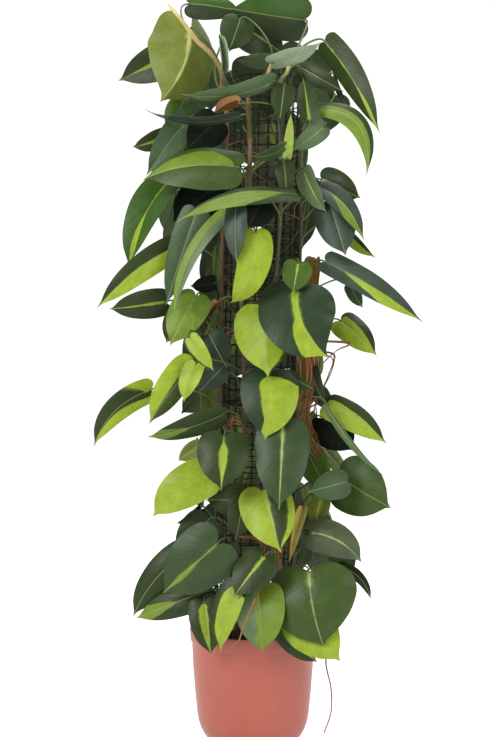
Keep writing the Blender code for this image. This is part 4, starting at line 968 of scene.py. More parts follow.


# %% The marking of each seen leaf
# under is an underside tone, used only as painted shade for leaves deep inside the plant.
Mark = namedtuple("Mark", "deep light bands under", defaults=("pale", (), ""))
MARKS = {
    # Marks in the slate, sage and mint tones carry painted sheen as well as the leaves' own colour.
    "m1": Mark("blue", "lime", [(-0.06, 0.12, -0.06, 0.14), (-0.05, 0.3, -0.1, 1.2, 0.68, 1)]),
    "m2": Mark("mid", "lime", [ALL]),
    "m3": Mark("dark", "lime", [(-0.28, 2, -0.95, 2, 0.10, 1)]),
    "m4": Mark("blue", "lime", [(-2, 0.30, -2, 0.36, 0.32, 1), (-2, 2, -2, 2, 0.84, 1)]),
    "m5": Mark("dark", "lime", [(-0.02, 0.03, -0.02, 0.03), (-0.15, 0.13, -0.26, 0.2, 0.5, 0.97)]),
    "m6": Mark("pine", "pale", [(-0.03, 0.03, -0.06, 0.06)]),
    "m7": Mark("dark", "lime", [(-0.20, 2, -0.10, 2), (-2, -0.75, -2, -0.8)]),
    "m8": Mark("mid", "lime", [(-0.06, 0.06, -0.06, 0.06)]),
    "b1": Mark("forest", "pale", [(-0.022, 0.026, -0.012, 0.012)]),
    "b2": Mark("sage", "moss", [(-2, 0.15, -2, 0.3), (-2, 2, -2, 2, 0.8, 1)]),
    "b3": Mark("pine", "moss", [(-0.02, 0.03, -0.02, 0.03), (-0.16, 0.14, -0.30, 0.25, 0.70, 1)]),
    "b4": Mark("dark", "lime", [(-0.05, 0.08, -0.2, 0.6, 0.3, 1)]),
    "b5": Mark("dark", "lime", [(-2, 0.1, -2, 0.9, 0.3, 1)]),
    "b6": Mark("dark", "lime", [(-0.08, 0.05, -0.12, 0.08)]),
    "b7": Mark("mid", "lime", [(-0.2, 0.4, -1.5, 1.5, 0.25, 1)]),
    "b8": Mark("dark", "moss", [(-2, 2, -2, 2, 0.74, 1)]),
    "b10": Mark("ash", "pale", [(-0.02, 0.03, -0.05, 0.05)]),
    "b12": Mark("dark", "lime", [(-0.1, 0.1, -0.4, 0.3, 0.3, 1)]),
    "b13": Mark("dusk", "olive"),
    "r4": Mark("dark", "lime", [(-0.45, 2, -0.4, 2)]),
    "r5": Mark("sage", "pale", [(-0.05, 0.05, -0.1, 0.1)]),
    "r9": Mark("dark", "lime", [(-0.4, 2, -0.6, 2)]),
    "r10": Mark("olive", "lime", [(-0.3, 0.2, -0.3, 0.2)]),
    "r11": Mark("slate", "lime", [(-0.05, 2, -0.15, 2, 0.60, 1)]),
    "r13": Mark("dark", "lime", [(0.0, 0.7, -0.3, 1.2)]),
    "r14": Mark("slate", "moss", [(0.2, 2, -0.2, 2, 0.62, 1)]),
    "r15": Mark("sage", "pale", [(-0.05, 0.05, -0.1, 0.1)]),
    "r16": Mark("dark", "cream", [(-0.12, 0.15, -0.05, 0.08, 0.1, 0.8)]),
    "r17": Mark("dark", "moss", [(0.0, 2, -0.8, 2, 0.08, 1)]),
    "r18": Mark("sage", "pale", [(-0.03, 0.03, -0.03, 0.03)]),
    "r19": Mark("dark", "lime", [(-0.02, 0.03, -0.02, 0.05), (-0.12, 0.25, -0.6, 1.2, 0.80, 1)]),
    "r20": Mark("dark", "pale", [(-0.02, 0.03, -0.03, 0.03)]),
    "c1": Mark("olive", "cream", [(-0.05, 0.05, -0.05, 0.05)]),
    "c2": Mark("dusk", "leafy", [(0.03, 2, 0.03, 2)]),
    "c4": Mark("dark", "pale", [(-0.03, 0.03, -0.03, 0.03)]),
    "c5": Mark("leafy", "dusk", [(0.03, 2, 0.03, 2)]),
    "c6": Mark("mint", "pale", [(-0.03, 0.03, -0.03, 0.03)]),
    "c8": Mark("sage", "pale", [(-0.03, 0.03, -0.03, 0.03)]),
    "c9": Mark("dark", "lime", [(-0.06, 0.12, -0.08, 0.2)]),
    "c11": Mark("dark", "lime", [(-0.2, 0.05, -0.2, 0.05)]),
    "c13": Mark("bud", "lime", [(-0.3, 0.3, -0.3, 0.3)]),
    "c17": Mark("mint", "mint"),
    "l1": Mark("forest", "moss", [(0.06, 0.60, 0.0, 0.85, 0.34, 1)]),
    "l3": Mark("dark", "moss", [(-2, 0.1, -2, 0.9, 0.50, 1)]),
    "l4": Mark("sage", "moss", [(0.0, 2, 0.0, 2)]),
    "l5": Mark("leafy", "lime", [(-0.02, 0.03, -0.03, 0.03), (-0.5, 0.2, -0.9, 0.5, 0.74, 1)]),
    "l6": Mark("dark", "lime", [(-2, -0.35, -2, 0.35)]),
    "l8": Mark("grass", "moss", [(-2, 2, -2, 2, 0.60, 1)]),
    "l12": Mark("dark", "lime", [(-0.15, 0.2, -0.1, 0.3)]),
    "l13": Mark("dark", "lime", [(-0.05, 0.08, -0.1, 0.1)]),
    "l18": Mark("mid", "lime", [ALL]),
    "l19": Mark("dark", "lime", [(0.0, 2, -0.1, 0.2, 0, 0.4), (-2, -0.6, -2, -0.2)]),
    "l20": Mark("forest", "lime", [(0.30, 0.82, 0.15, 1.6)]),
    "l21": Mark("dark", "lime", [(-2, 0.7, -2, 0.9)]),
    "l23": Mark("mid", "lime", [ALL]),
    "l25": Mark("dark", "grass", [(-2, 2, -2, 2, 0.74, 1)]),
    "l26": Mark("olive", "lime", [(-0.2, 0.2, -0.2, 0.2)]),
    "dry1": Mark("husk", "ochre", [(-0.5, 0.3, -0.5, 0.3)]),
    "dry2": Mark("straw", "brown", [(0.7, 2, 0.6, 2)]),
    "dry3": Mark("brown", "husk", [(0.5, 2, 0.3, 2)]),
    "dry4": Mark("brown", "husk", [(0.3, 2, 0.0, 2)]),
}
UNMARKED = {
    "dark": "m9 b9 b11 r8 c3 c12 c14 c15 l16 l27 l28",
    # These leaves sit deep in the plant, and their darkest tone is painted shade.
    "black": "b14 r6 l10 l11 l15 l17",
    "forest": "r1",
    "grey": "r2 r21 c16 l2 l9",
    "mid": "r3 l14",
    # The slate and sage leaves here carry painted sheen as well as their own grey-green.
    "slate": "r7 r12 c10 l7 l24",
    "blue": "r22",
    "sage": "c7",
    "bottle": "l22",
}
for deep, names in UNMARKED.items():
    MARKS.update((name, Mark(deep)) for name in names.split())
LIME_BELOW = 0.15
HALF_BELOW = 0.45
STRIPE_BELOW = 0.75
HALF_BAND = {-1: (-2, 0.05, -2, 0.2), 1: (-0.05, 2, -0.2, 2)}
STRIPE_AT_BASE = {-1: (-0.14, 0.06), 1: (-0.04, 0.06)}
STRIPE_WIDTH = (0.05, 0.3)
STRIPE_UNEVEN = (0.3, 1.6)
FRONT_HALF = 0.05
FACES_FRONT = -0.4


def drawn_mark(draw, name, blade):
    """The marking of a leaf of the sides, the back or a gap, drawn by a seeded rule."""
    # Leaves behind the gaps of the front view get painted shade on their undersides, which face the
    # front: the darkest tone, for the shade inside the plant.
    under = "black" if name.startswith("inner") else ""
    if blade.base.y < FRONT_HALF and blade.face.y < FACES_FRONT:
        return Mark(draw.choice(["dark", "shadow", "blue", "forest"]))
    deep = draw.choice(["dark", "dark", "blue", "mid"])
    side = draw.choice([-1, 1])
    kind = draw.random()
    if abs(blade.base.x) < COLUMN_RADIUS and kind < HALF_BELOW and not under:
        kind = HALF_BELOW
    if kind < LIME_BELOW:
        bands = [ALL]
    elif kind < HALF_BELOW:
        bands = [HALF_BAND[side]]
    elif kind < STRIPE_BELOW:
        width = draw.uniform(*STRIPE_WIDTH)
        bands = [(*STRIPE_AT_BASE[side], -width, width * draw.uniform(*STRIPE_UNEVEN))]
    else:
        bands = []
    return Mark(deep, "lime", bands, under)


print(len(MARKS), "markings listed")

# %% [markdown]
# ## Fine blades
# The edge of a real blade is a smooth curve with rounded lobes and a drawn-out tip, and its side veins
# leave the midrib and bend towards the tip. A flat grid cut by a heart-shaped picture would leave
# the edge ragged. So the grid itself has the shape of the leaf: its rows are the courses of side veins,
# from the midrib to the margin, and its columns run along the leaf.

# %% The fine outline of half a blade
HALF_OUTLINE = [(0.012, 0.0), (0.05, -0.06), (0.12, -0.115), (0.21, -0.13), (0.31, -0.10),
                (0.39, -0.02), (0.432, 0.10), (0.442, 0.24), (0.428, 0.38), (0.388, 0.52),
                (0.318, 0.66), (0.220, 0.78), (0.122, 0.86), (0.054, 0.91), (0.026, 0.945),
                (0.012, 0.975), (0.0, 1.0)]
ROWS = 34
HALF_COLUMNS = 8
LOBE_ROWS = 0.30
OUTLINE_STEP = 0.005
VEIN_CURVE = 1.3
LOBE_VEINS_FROM = 0.02
CLOSER_AT_RIB = 1.25


def outline_places():
    """The outline at even steps along it, from the notch to just before the tip."""
    curve = smooth_path([Vector((u, v, 0.0)) for u, v in HALF_OUTLINE], OUTLINE_STEP)
    run = np.cumsum([0.0] + [(b - a).length for a, b in zip(curve, curve[1:])])
    steps = np.linspace(0.0, run[-1], ROWS + 1)[:-1]
    return (np.interp(steps, run, [place.x for place in curve]),
            np.interp(steps, run, [place.y for place in curve]))


EDGE_U, EDGE_V = outline_places()


def vein_start(row):
    """Where on the midrib the side vein of a row leaves it."""
    past = max(0.0, row / ROWS - LOBE_ROWS) / (1 - LOBE_ROWS)
    return LOBE_VEINS_FROM * row / ROWS + (1 - LOBE_VEINS_FROM) * past ** 2.0


def flat_grid():
    """The flat blade's places: u and v of each, its share towards the margin and its row's share."""
    grid = []
    for row in range(ROWS):
        start = vein_start(row)
        for column in range(-HALF_COLUMNS, HALF_COLUMNS + 1):
            out = abs(column / HALF_COLUMNS) ** CLOSER_AT_RIB
            side = math.copysign(1.0, column)
            grid.append((side * out * EDGE_U[row], start + (EDGE_V[row] - start) * out ** VEIN_CURVE,
                         side * out, row / ROWS))
    grid.append((0.0, 1.0, 0.0, 1.0))
    return grid


GRID_PLACES = flat_grid()
print(len(GRID_PLACES), "places on each face of a blade")


# %% Faces of a blade
def grid_faces():
    """The faces of the upper side, and the places round its edge in order."""
    across = 2 * HALF_COLUMNS + 1
    tip = ROWS * across
    faces = []
    for row in range(ROWS - 1):
        for column in range(across - 1):
            a = row * across + column
            faces.append((a, a + 1, a + 1 + across, a + across))
    last = (ROWS - 1) * across
    faces += [(last + column, last + column + 1, tip) for column in range(across - 1)]
    edge = list(range(across))
    edge += [row * across + across - 1 for row in range(1, ROWS)]
    edge += [tip]
    edge += [row * across for row in range(ROWS - 1, 0, -1)]
    return faces, edge


TOP_FACES, EDGE = grid_faces()
BAND_OPENS_IN = 0.16
BAND_ENDS_STEEPER = 2.0
BAND_ENDS_WIDER = 0.1


def side_of_band(bands, share, row):
    """How far inside the lime bands a place lies: above 0 inside, below 0 outside."""
    best = -1.0
    for low_base, high_base, low_tip, high_tip, *ends in bands:
        low = low_base + (low_tip - low_base) * row
        high = high_base + (high_tip - high_base) * row
        grown = max(0.0, min(1.0, (row - ends[0]) / BAND_OPENS_IN)) if ends else 1.0
        inside = min(share - low * grown, high * grown - share)
        if ends:
            inside = min(inside, row - ends[0], BAND_ENDS_STEEPER * (ends[1] - row) + BAND_ENDS_WIDER)
        best = max(best, inside)
    return max(-1.0, min(1.0, best))


# %% One fine blade
GROOVE = 0.0007
GROOVE_FADES_BY = 0.8
FINE_THICKNESS = 0.0006


def blade_sheet(blade):
    """The upper side's places on the bent blade, with a groove along the midrib."""
    places = []
    for u, v, share, row in GRID_PLACES:
        place = on_blade(blade, u, v)
        if share == 0.0:
            place -= midrib_frame(blade, v)[2] * (GROOVE * (1 - GROOVE_FADES_BY * row))
        places.append(place)
    return np.array([tuple(place) for place in places])


def sheet_normals(places):
    """The upward direction at each place of a blade, from the faces round it."""
    normals = np.zeros_like(places)
    for face in TOP_FACES:
        corners = places[list(face)]
        facing = np.cross(corners[2] - corners[0], corners[-1] - corners[1])
        normals[list(face)] += facing
    return normals / np.maximum(np.linalg.norm(normals, axis=1, keepdims=True), 1e-12)


# %% All the blades of one vine as one mesh
# How far a leaf in painted shade is dulled: the value that marks dried leaves, at a lower level, which
# takes away the pale midrib and cuts the reflection.
PAINTED_SHADE_DULL = 0.6
CM_IN_METRE = 100


class Sheaf:
    """Points, faces and values of the fine blades that make one piece."""

    def __init__(self):
        self.points, self.faces, self.uv = [], [], []
        self.values = {"lime": [], "rib": [], "under": [], "dry": []}
        self.tones = {"deep": [], "light": []}

    def add(self, blade, mark, dry, seed):
        """Adds a blade with its marking, a value for its dryness and for the dulling of painted shade,
        and the seed of its frayed edges.
        """
        top = blade_sheet(blade)
        normals = sheet_normals(top)
        start = len(self.points)
        count = len(top)
        self.points += [tuple(p) for p in top + normals * (FINE_THICKNESS / 2)]
        self.points += [tuple(p) for p in top - normals * (FINE_THICKNESS / 2)]
        for face in TOP_FACES:
            self.faces.append(tuple(start + i for i in face))
            self.faces.append(tuple(start + count + i for i in reversed(face)))
        for a, b in zip(EDGE, EDGE[1:] + EDGE[:1]):
            self.faces.append((start + b, start + a, start + count + a, start + count + b))
        lime = [side_of_band(mark.bands, share, row) for _, _, share, row in GRID_PLACES]
        rib = [min(1.0, abs(u) * blade.wide / OUTLINE_WIDTH * CM_IN_METRE)
               for u, _, _, _ in GRID_PLACES]
        for under in (0.0, 1.0):
            self.uv += [(0.5 + 0.5 * share, row) for _, _, share, row in GRID_PLACES]
            self.values["lime"] += lime
            self.values["rib"] += rib
            self.values["under"] += [under] * count
            # An underside tone is painted shade: it takes the place of both tones on the underside,
            # which is also dulled like a half-dried leaf.
            shade = mark.under if under else ""
            self.values["dry"] += [PAINTED_SHADE_DULL if shade else dry] * count
            self.tones["deep"] += [(*linear(shade or mark.deep), seed)] * count
            self.tones["light"] += [(*linear(shade or mark.light), seed)] * count


def new_piece(name, points, faces, material):
    """A smooth-shaded mesh object from points and faces."""
    mesh = bpy.data.meshes.new(name)
    mesh.from_pydata([tuple(p) for p in points], [], faces)
    mesh.update()
    mesh.materials.append(material)
    mesh.shade_smooth()
    return add_object(name, mesh)


def mesh_of(name, shape, material=None):
    """A mesh with the faces of an edit mesh, which is freed."""
    mesh = bpy.data.meshes.new(name)
    shape.to_mesh(mesh)
    shape.free()
    if material:
        mesh.materials.append(material)
    return mesh


def write_values(mesh, name, values):
    """Writes one number for each point of a mesh."""
    mesh.attributes.new(name, "FLOAT", "POINT").data.foreach_set("value", values)


def write_tones(mesh, name, tones):
    """Writes a colour for each point of a mesh."""
    layer = mesh.attributes.new(name, "FLOAT_COLOR", "POINT")
    layer.data.foreach_set("color", [level for tone in tones for level in tone])


def write_uv(mesh, places):
    """Writes a texture place for each point of a mesh to its corners."""
    layer = mesh.uv_layers.new(name="UVMap")
    corners = np.zeros(len(mesh.loops), dtype=np.int32)
    mesh.loops.foreach_get("vertex_index", corners)
    layer.data.foreach_set("uv", np.array(places, dtype=np.float32)[corners].ravel())


# %% [markdown]
# ## Shared effects
# Speckle goes into every finish, and side veins and the ragged edge of the lime bands into the leaves.
# Written out in the materials, their nodes would hide what is special about each finish. So each effect
# is a node group with named inputs, built once, and a material places it with its own numbers.

# %% Helpers for nodes
def new_group(name, inputs, outputs):
    """A node group with inputs that have usual values, None for a vector, and numbers as outputs."""
    group = bpy.data.node_groups.new(name, "ShaderNodeTree")
    for label, value in inputs.items():
        kind = "NodeSocketVector" if value is None else "NodeSocketFloat"
        socket = group.interface.new_socket(label, in_out="INPUT", socket_type=kind)
        if value is not None:
            socket.default_value = value
    for label in outputs:
        group.interface.new_socket(label, in_out="OUTPUT", socket_type="NodeSocketFloat")
    return group, group.nodes.new("NodeGroupInput"), group.nodes.new("NodeGroupOutput")


def place(tree, kind, values=None, links=None, **settings):
    """A node with its settings, its sockets' values and what is linked to them."""
    node = tree.nodes.new(kind)
    for key, value in settings.items():
        setattr(node, key, value)
    for key, value in (values or {}).items():
        node.inputs[key].default_value = value
    for key, source in (links or {}).items():
        tree.links.new(source, node.inputs[key])
    return node


def maths(tree, operation, first, second=None, clamp=False):
    """A Math node's output for two inputs, each a socket or a number."""
    node = place(tree, "ShaderNodeMath", operation=operation, use_clamp=clamp)
    for i, value in enumerate((first, second)):
        if value is None:
            continue
        if isinstance(value, (int, float)):
            node.inputs[i].default_value = value
        else:
            tree.links.new(value, node.inputs[i])
    return node.outputs[0]


def ramp(tree, value, low, high, to_low=0.0, to_high=1.0):
    """A smooth step of a value between two limits."""
    node = place(tree, "ShaderNodeMapRange", {"From Min": low, "From Max": high, "To Min": to_low,
                                              "To Max": to_high}, {"Value": value},
                 interpolation_type="SMOOTHSTEP")
    return node.outputs["Result"]


def mixed(tree, share, first, second, blend="MIX"):
    """A colour mixed from two, each a socket or a colour. share is a socket or a number."""
    node = place(tree, "ShaderNodeMix", data_type="RGBA", blend_type=blend)
    for key, value in ((0, share), (6, first), (7, second)):
        if hasattr(value, "is_linked"):
            tree.links.new(value, node.inputs[key])
        else:
            node.inputs[key].default_value = value
    return node.outputs[2]


def used(tree, group, values=None, links=None):
    """A group placed in a tree."""
    return place(tree, "ShaderNodeGroup", values, links, node_tree=group)


# %% Speckle
def speckle_group():
    """Uneven tone and grain, from a wide and a fine noise: Wide, Fine and Both, each about 0.5."""
    group, given, out = new_group(
        "speckle", {"Place": None, "Wide Scale": 30.0, "Fine Scale": 400.0}, ("Wide", "Fine", "Both"))
    noises = []
    for label, detail in (("Wide Scale", 3.0), ("Fine Scale", 2.0)):
        noise = place(group, "ShaderNodeTexNoise", {"Detail": detail, "Roughness": 0.6},
                      {"Vector": given.outputs["Place"], "Scale": given.outputs[label]})
        noises.append(noise.outputs["Fac"])
    both = maths(group, "ADD", maths(group, "MULTIPLY", noises[0], 0.6),
                 maths(group, "MULTIPLY", noises[1], 0.4))
    for label, source in (("Wide", noises[0]), ("Fine", noises[1]), ("Both", both)):
        group.links.new(source, out.inputs[label])
    return group


SPECKLE = speckle_group()
print("group", SPECKLE.name)


# %% Side veins
def vein_group():
    """Side veins of a blade. Along is the row's share, Out the share towards the margin about 0.5."""
    group, given, out = new_group(
        "side_veins", {"Out": 0.5, "Along": 0.0, "Count": 11.0, "Width": 0.1}, ("Line", "Swell"))
    steps = maths(group, "MULTIPLY", given.outputs["Along"], given.outputs["Count"])
    saw = maths(group, "PINGPONG", steps, 0.5)
    line = place(group, "ShaderNodeMapRange", {"From Min": 0.0, "To Min": 1.0, "To Max": 0.0},
                 {"Value": saw, "From Max": given.outputs["Width"]}, interpolation_type="SMOOTHSTEP")
    centre = maths(group, "ABSOLUTE", maths(group, "SUBTRACT", given.outputs["Out"], 0.5))
    fade = ramp(group, centre, 0.5, 0.30)
    group.links.new(maths(group, "MULTIPLY", line.outputs["Result"], fade), out.inputs["Line"])
    group.links.new(saw, out.inputs["Swell"])
    return group


VEINS = vein_group()
print("group", VEINS.name)


# %% The ragged edge of a band
def band_group():
    """A lime band with an edge that frays along the side veins, and the mid-green fringe beside it."""
    group, given, out = new_group(
        "frayed_band", {"Inside": 0.0, "Out": 0.5, "Along": 0.0, "Seed": 0.0, "Fray": 0.3,
                        "Fringe Width": 0.2}, ("Band", "Fringe"))
    streaks = place(group, "ShaderNodeCombineXYZ", None, {
        "X": maths(group, "MULTIPLY", given.outputs["Out"], 2.0),
        "Y": maths(group, "MULTIPLY", given.outputs["Along"], 7.0),
        "Z": maths(group, "MULTIPLY", given.outputs["Seed"], 40.0)})
    noise = place(group, "ShaderNodeTexNoise", {"Scale": 1.0, "Detail": 4.0, "Roughness": 0.6},
                  {"Vector": streaks.outputs["Vector"]})
    shift = maths(group, "MULTIPLY", maths(group, "SUBTRACT", noise.outputs["Fac"], 0.5),
                  given.outputs["Fray"])
    edge = maths(group, "ADD", given.outputs["Inside"], shift)
    group.links.new(ramp(group, edge, -0.02, 0.02), out.inputs["Band"])
    wide = maths(group, "ADD", edge, given.outputs["Fringe Width"])
    group.links.new(ramp(group, maths(group, "ADD", wide, shift), -0.03, 0.05), out.inputs["Fringe"])
    return group


FRAYED_BAND = band_group()
print("group", FRAYED_BAND.name)

# %% [markdown]
# ## The leaf finish
# A leaf of this plant is leathery and has a satin gloss, with a pale midrib, faint sunken side veins
# and a duller, paler underside. One green for all would look like plastic. The finish reads the two
# tones of the leaf, the distance to its midrib and its bands from the mesh, and adds the rest, with
# painted shade along the sunken side veins and a dulling for leaves in painted shade.


# %% Leaf material
def new_material(name):
    """A node material with its Principled shader and the place on the object."""
    made = bpy.data.materials.new(name)
    made.use_nodes = True
    tree = made.node_tree
    where = tree.nodes.new("ShaderNodeTexCoord")
    return made, tree, tree.nodes["Principled BSDF"], where


def value_of(tree, name, output="Fac"):
    """A value that the mesh holds under a name."""
    return place(tree, "ShaderNodeAttribute", attribute_name=name).outputs[output]


def shaded(tree, colour, value, low, high):
    """A colour made darker and lighter by a value from 0 to 1."""
    grey = ramp(tree, value, 0.25, 0.75, low, high)
    level = place(tree, "ShaderNodeCombineColor", None, {"Red": grey, "Green": grey, "Blue": grey})
    return mixed(tree, 1.0, colour, level.outputs["Color"], "MULTIPLY")


def speckle_on(tree, where, wide, fine):
    """The outputs of the speckle on a piece, for a wide and a fine scale."""
    return used(tree, SPECKLE, {"Wide Scale": wide, "Fine Scale": fine},
                {"Place": where.outputs["Object"]}).outputs


def finish_material(tree, shader, colour, rough, height, strength, distance):
    """Links colour, roughness and a bump of a strength and a distance in metres to the shader."""
    bump = place(tree, "ShaderNodeBump", {"Strength": strength, "Distance": distance},
                 {"Height": height})
    tree.links.new(colour, shader.inputs["Base Color"])
    tree.links.new(rough, shader.inputs["Roughness"])
    tree.links.new(bump.outputs["Normal"], shader.inputs["Normal"])


LEAF_SCALES = (45.0, 900.0)
VEIN_TINT = (0.30, 0.38, 0.16, 1.0)
RIB_TINT = (0.30, 0.37, 0.13, 1.0)
UNDERSIDE_TINT = (0.15, 0.21, 0.10, 1.0)


def leaf_material():
    """The leaf's finish, which reads its tones, bands and midrib from the mesh."""
    made, tree, shader, where = new_material("leaf_green")
    uv = place(tree, "ShaderNodeSeparateXYZ", None, {"Vector": where.outputs["UV"]})
    out, along = uv.outputs["X"], uv.outputs["Y"]
    speckle = speckle_on(tree, where, *LEAF_SCALES)
    band = used(tree, FRAYED_BAND, {"Fray": 0.17, "Fringe Width": 0.055},
                {"Inside": value_of(tree, "lime"), "Out": out, "Along": along,
                 "Seed": value_of(tree, "deep", "Alpha")})
    veins = used(tree, VEINS, {"Count": 11.0, "Width": 0.10}, {"Out": out, "Along": along})
    deep, light = value_of(tree, "deep", "Color"), value_of(tree, "light", "Color")
    fringe = mixed(tree, 0.35, deep, light)
    colour = mixed(tree, maths(tree, "MULTIPLY", band.outputs["Fringe"], 0.8), deep, fringe)
    colour = mixed(tree, band.outputs["Band"], colour, light)
    colour = shaded(tree, colour, speckle["Both"], 0.80, 1.22)
    # Painted shade in the sunken side veins: the colour is darker along each vein and lighter between
    # them.
    colour = shaded(tree, colour, veins.outputs["Swell"], 0.94, 1.10)
    vein_light = mixed(tree, 0.25, colour, VEIN_TINT)
    colour = mixed(tree, maths(tree, "MULTIPLY", veins.outputs["Line"], 0.10), colour, vein_light)
    rib = ramp(tree, value_of(tree, "rib"), 0.03, 0.13, 1.0, 0.0)
    colour = mixed(tree, maths(tree, "MULTIPLY", rib, 0.50), colour, RIB_TINT)
    under = value_of(tree, "under")
    colour = mixed(tree, maths(tree, "MULTIPLY", under, 0.35), colour, UNDERSIDE_TINT)
    # This value dulls dried leaves and, at a lower level, leaves in painted shade: it takes away their
    # pale midrib, makes them rougher and cuts their reflection.
    dry = value_of(tree, "dry")
    colour = mixed(tree, maths(tree, "MULTIPLY", ramp(tree, dry, 0.4, 0.6), rib), colour, deep)
    rough = maths(tree, "ADD", ramp(tree, speckle["Both"], 0.3, 0.7, 0.36, 0.50),
                  maths(tree, "MULTIPLY", under, 0.16))
    rough = maths(tree, "ADD", rough, maths(tree, "MULTIPLY", dry, 0.35), clamp=True)
    height = maths(tree, "SUBTRACT", ramp(tree, veins.outputs["Swell"], 0.0, 0.22),
                   maths(tree, "MULTIPLY", rib, 0.5))
    height = maths(tree, "ADD", height, maths(tree, "MULTIPLY", speckle["Fine"], 0.25))
    finish_material(tree, shader, colour, rough, height, 0.22, 0.0006)
    tree.links.new(ramp(tree, dry, 0.0, 1.0, 0.45, 0.05), shader.inputs["Specular IOR Level"])
    shader.inputs["IOR"].default_value = 1.40
    return made


LEAF = leaf_material()
print("material", LEAF.name)

# %% Blades of every vine
DRY_LEAVES = {"dry1", "dry2", "dry3", "dry4"}
LOOKS_SEED = 5


def vine_blades(vine, draw):
    """The fine blades of one vine as one piece."""
    sheaf = Sheaf()
    for name, owner, blade, _ in GROWN:
        if owner != vine.name:
            continue
        mark = MARKS[name] if name in MARKS else drawn_mark(draw, name, blade)
        # Leaves in the darkest tone are painted shade and get the same dulling.
        dry = 1.0 if name in DRY_LEAVES else PAINTED_SHADE_DULL if mark.deep == "black" else 0.0
        sheaf.add(blade, mark, dry, draw.random())
    piece = new_piece("leaves" + vine.name[4:], sheaf.points, sheaf.faces, LEAF)
    for name, values in sheaf.values.items():
        write_values(piece.data, name, values)
    for name, tones in sheaf.tones.items():
        write_tones(piece.data, name, tones)
    write_uv(piece.data, sheaf.uv)
    piece.data.set_sharp_from_angle(angle=math.radians(50))
    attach(piece, "root")
    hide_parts(vine.name)
    return piece


draw = random.Random(LOOKS_SEED)
for vine in VINES:
    piece = vine_blades(vine, draw)
    print(piece.name, len(piece.data.polygons), "faces")

# %% [markdown]
# ## Stems and stalks
# A stem is thicker where a leaf leaves it, and a stalk swells where it meets the stem and runs on
# under the blade as the midrib's ridge. A plain bevelled curve has one thickness. Tubes whose
# thickness changes along them show these swellings.

# %% Tubes joined to one piece
STEM_SIDES = 10
STALK_SIDES = 7
STALK_RINGS = 14
RIDGE_SHARES = (0.04, 0.12, 0.22, 0.34, 0.48, 0.62)
RIDGE_DEPTH = 0.0022
LEAST_RIDGE = 0.0003
STALK_RADIUS = 0.0016
FOOT_SWELL = 0.0009
NECK_SWELL = 0.0003
FOOT_FADE = 18
NECK_FADE = 30
RIDGE_RADIUS = 0.00150
LEAST_RIDGE_RADIUS = 0.0002
UV_IN_METRE = 10


class Bundle:
    """Tubes that make one piece, each with its tone at both ends."""

    def __init__(self):
        self.points, self.faces, self.uv, self.tones = [], [], [], []

    def add(self, path, radius, sides, first_tone, last_tone=None):
        """Adds a tube along a path, whose colour runs from its first tone to its last."""
        points, faces = tube_solid(path, radius, sides)
        start = len(self.points)
        self.points += points
        self.faces += [tuple(start + i for i in face) for face in faces]
        first = Vector(linear(first_tone))
        last = Vector(linear(last_tone or first_tone))
        run = 0.0
        for i, centre in enumerate(path):
            run += (centre - path[i - 1]).length if i else 0.0
            tone = first.lerp(last, i / (len(path) - 1))
            for k in range(sides):
                self.uv.append((k / sides, run * UV_IN_METRE))
                self.tones.append((*tone, 1.0))

    def finish(self, name, material, nodes):
        """The tubes as one piece, which takes the place of some nodes."""
        piece = new_piece(name, self.points, self.faces, material)
        write_tones(piece.data, "tint", self.tones)
        write_uv(piece.data, self.uv)
        piece.data.set_sharp_from_angle(angle=math.radians(60))
        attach(piece, "root")
        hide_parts(*nodes)
        return piece


# %% Stem material
def stem_material():
    """A satin finish with lines along the stem, in the tones that the mesh holds."""
    made, tree, shader, where = new_material("stem_green")
    speckle = speckle_on(tree, where, 60.0, 700.0)
    uv = place(tree, "ShaderNodeVectorMath", {1: (14.0, 1.5, 1.0)}, {0: where.outputs["UV"]},
               operation="MULTIPLY")
    lines = place(tree, "ShaderNodeTexNoise", {"Scale": 1.0, "Detail": 3.0},
                  {"Vector": uv.outputs["Vector"]})
    colour = shaded(tree, value_of(tree, "tint", "Color"), speckle["Both"], 0.70, 1.25)
    colour = shaded(tree, colour, lines.outputs["Fac"], 0.85, 1.12)
    rough = ramp(tree, speckle["Wide"], 0.3, 0.7, 0.38, 0.60)
    height = maths(tree, "ADD", lines.outputs["Fac"], maths(tree, "MULTIPLY", speckle["Fine"], 0.4))
    finish_material(tree, shader, colour, rough, height, 0.35, 0.0006)
    return made


STEM = stem_material()
print("material", STEM.name)


# %% Stems and stalks of every vine
WOODY_FROM = 1.02
WOODY_STOUTER = 1.2
GREEN_FROM = 0.55
STEM_PATH_STEP = 0.006
PLAIN_STEM = 0.96
NODE_SWELL = 0.18
NODE_REACH = 0.006
STEM_END = 0.55
STOUT = 1.25
WOODY_VINES = {"vine_front_left", "vine_left_front"}
STOUT_STALKS = set("c2 c4 c6 c7 c8 c10 c11 c12 c13 c15 c16 r15 r17 r18 r19 r20".split())


def swollen(path, knots, plain, swell, reach):
    """A radius for each point of a path, larger near the knots."""
    found = []
    for spot in path:
        near = min([(spot - knot).length for knot in knots] or [1.0])
        found.append(plain * (1 + swell * math.exp(-(near / reach) ** 2)))
    return found


def stalk_path(blade, course):
    """The stalk's curve and the ridge that it makes under the midrib."""
    path = [curve_point(course, i / (STALK_RINGS - 1)) for i in range(STALK_RINGS)]
    for share in RIDGE_SHARES:
        point, _, normal, _ = midrib_frame(blade, share)
        path.append(point - normal * (RIDGE_DEPTH * (1 - share) + LEAST_RIDGE))
    return path


def stalk_radius(share):
    """A stalk's radius at a share of its points: swollen at the stem, thin under the blade."""
    bend = (STALK_RINGS - 1) / (STALK_RINGS + len(RIDGE_SHARES) - 1)
    if share < bend:
        return (STALK_RADIUS + FOOT_SWELL * math.exp(-share * FOOT_FADE)
                + NECK_SWELL * math.exp(-(bend - share) * NECK_FADE))
    return RIDGE_RADIUS * (1 - (share - bend) / (1 - bend)) + LEAST_RIDGE_RADIUS


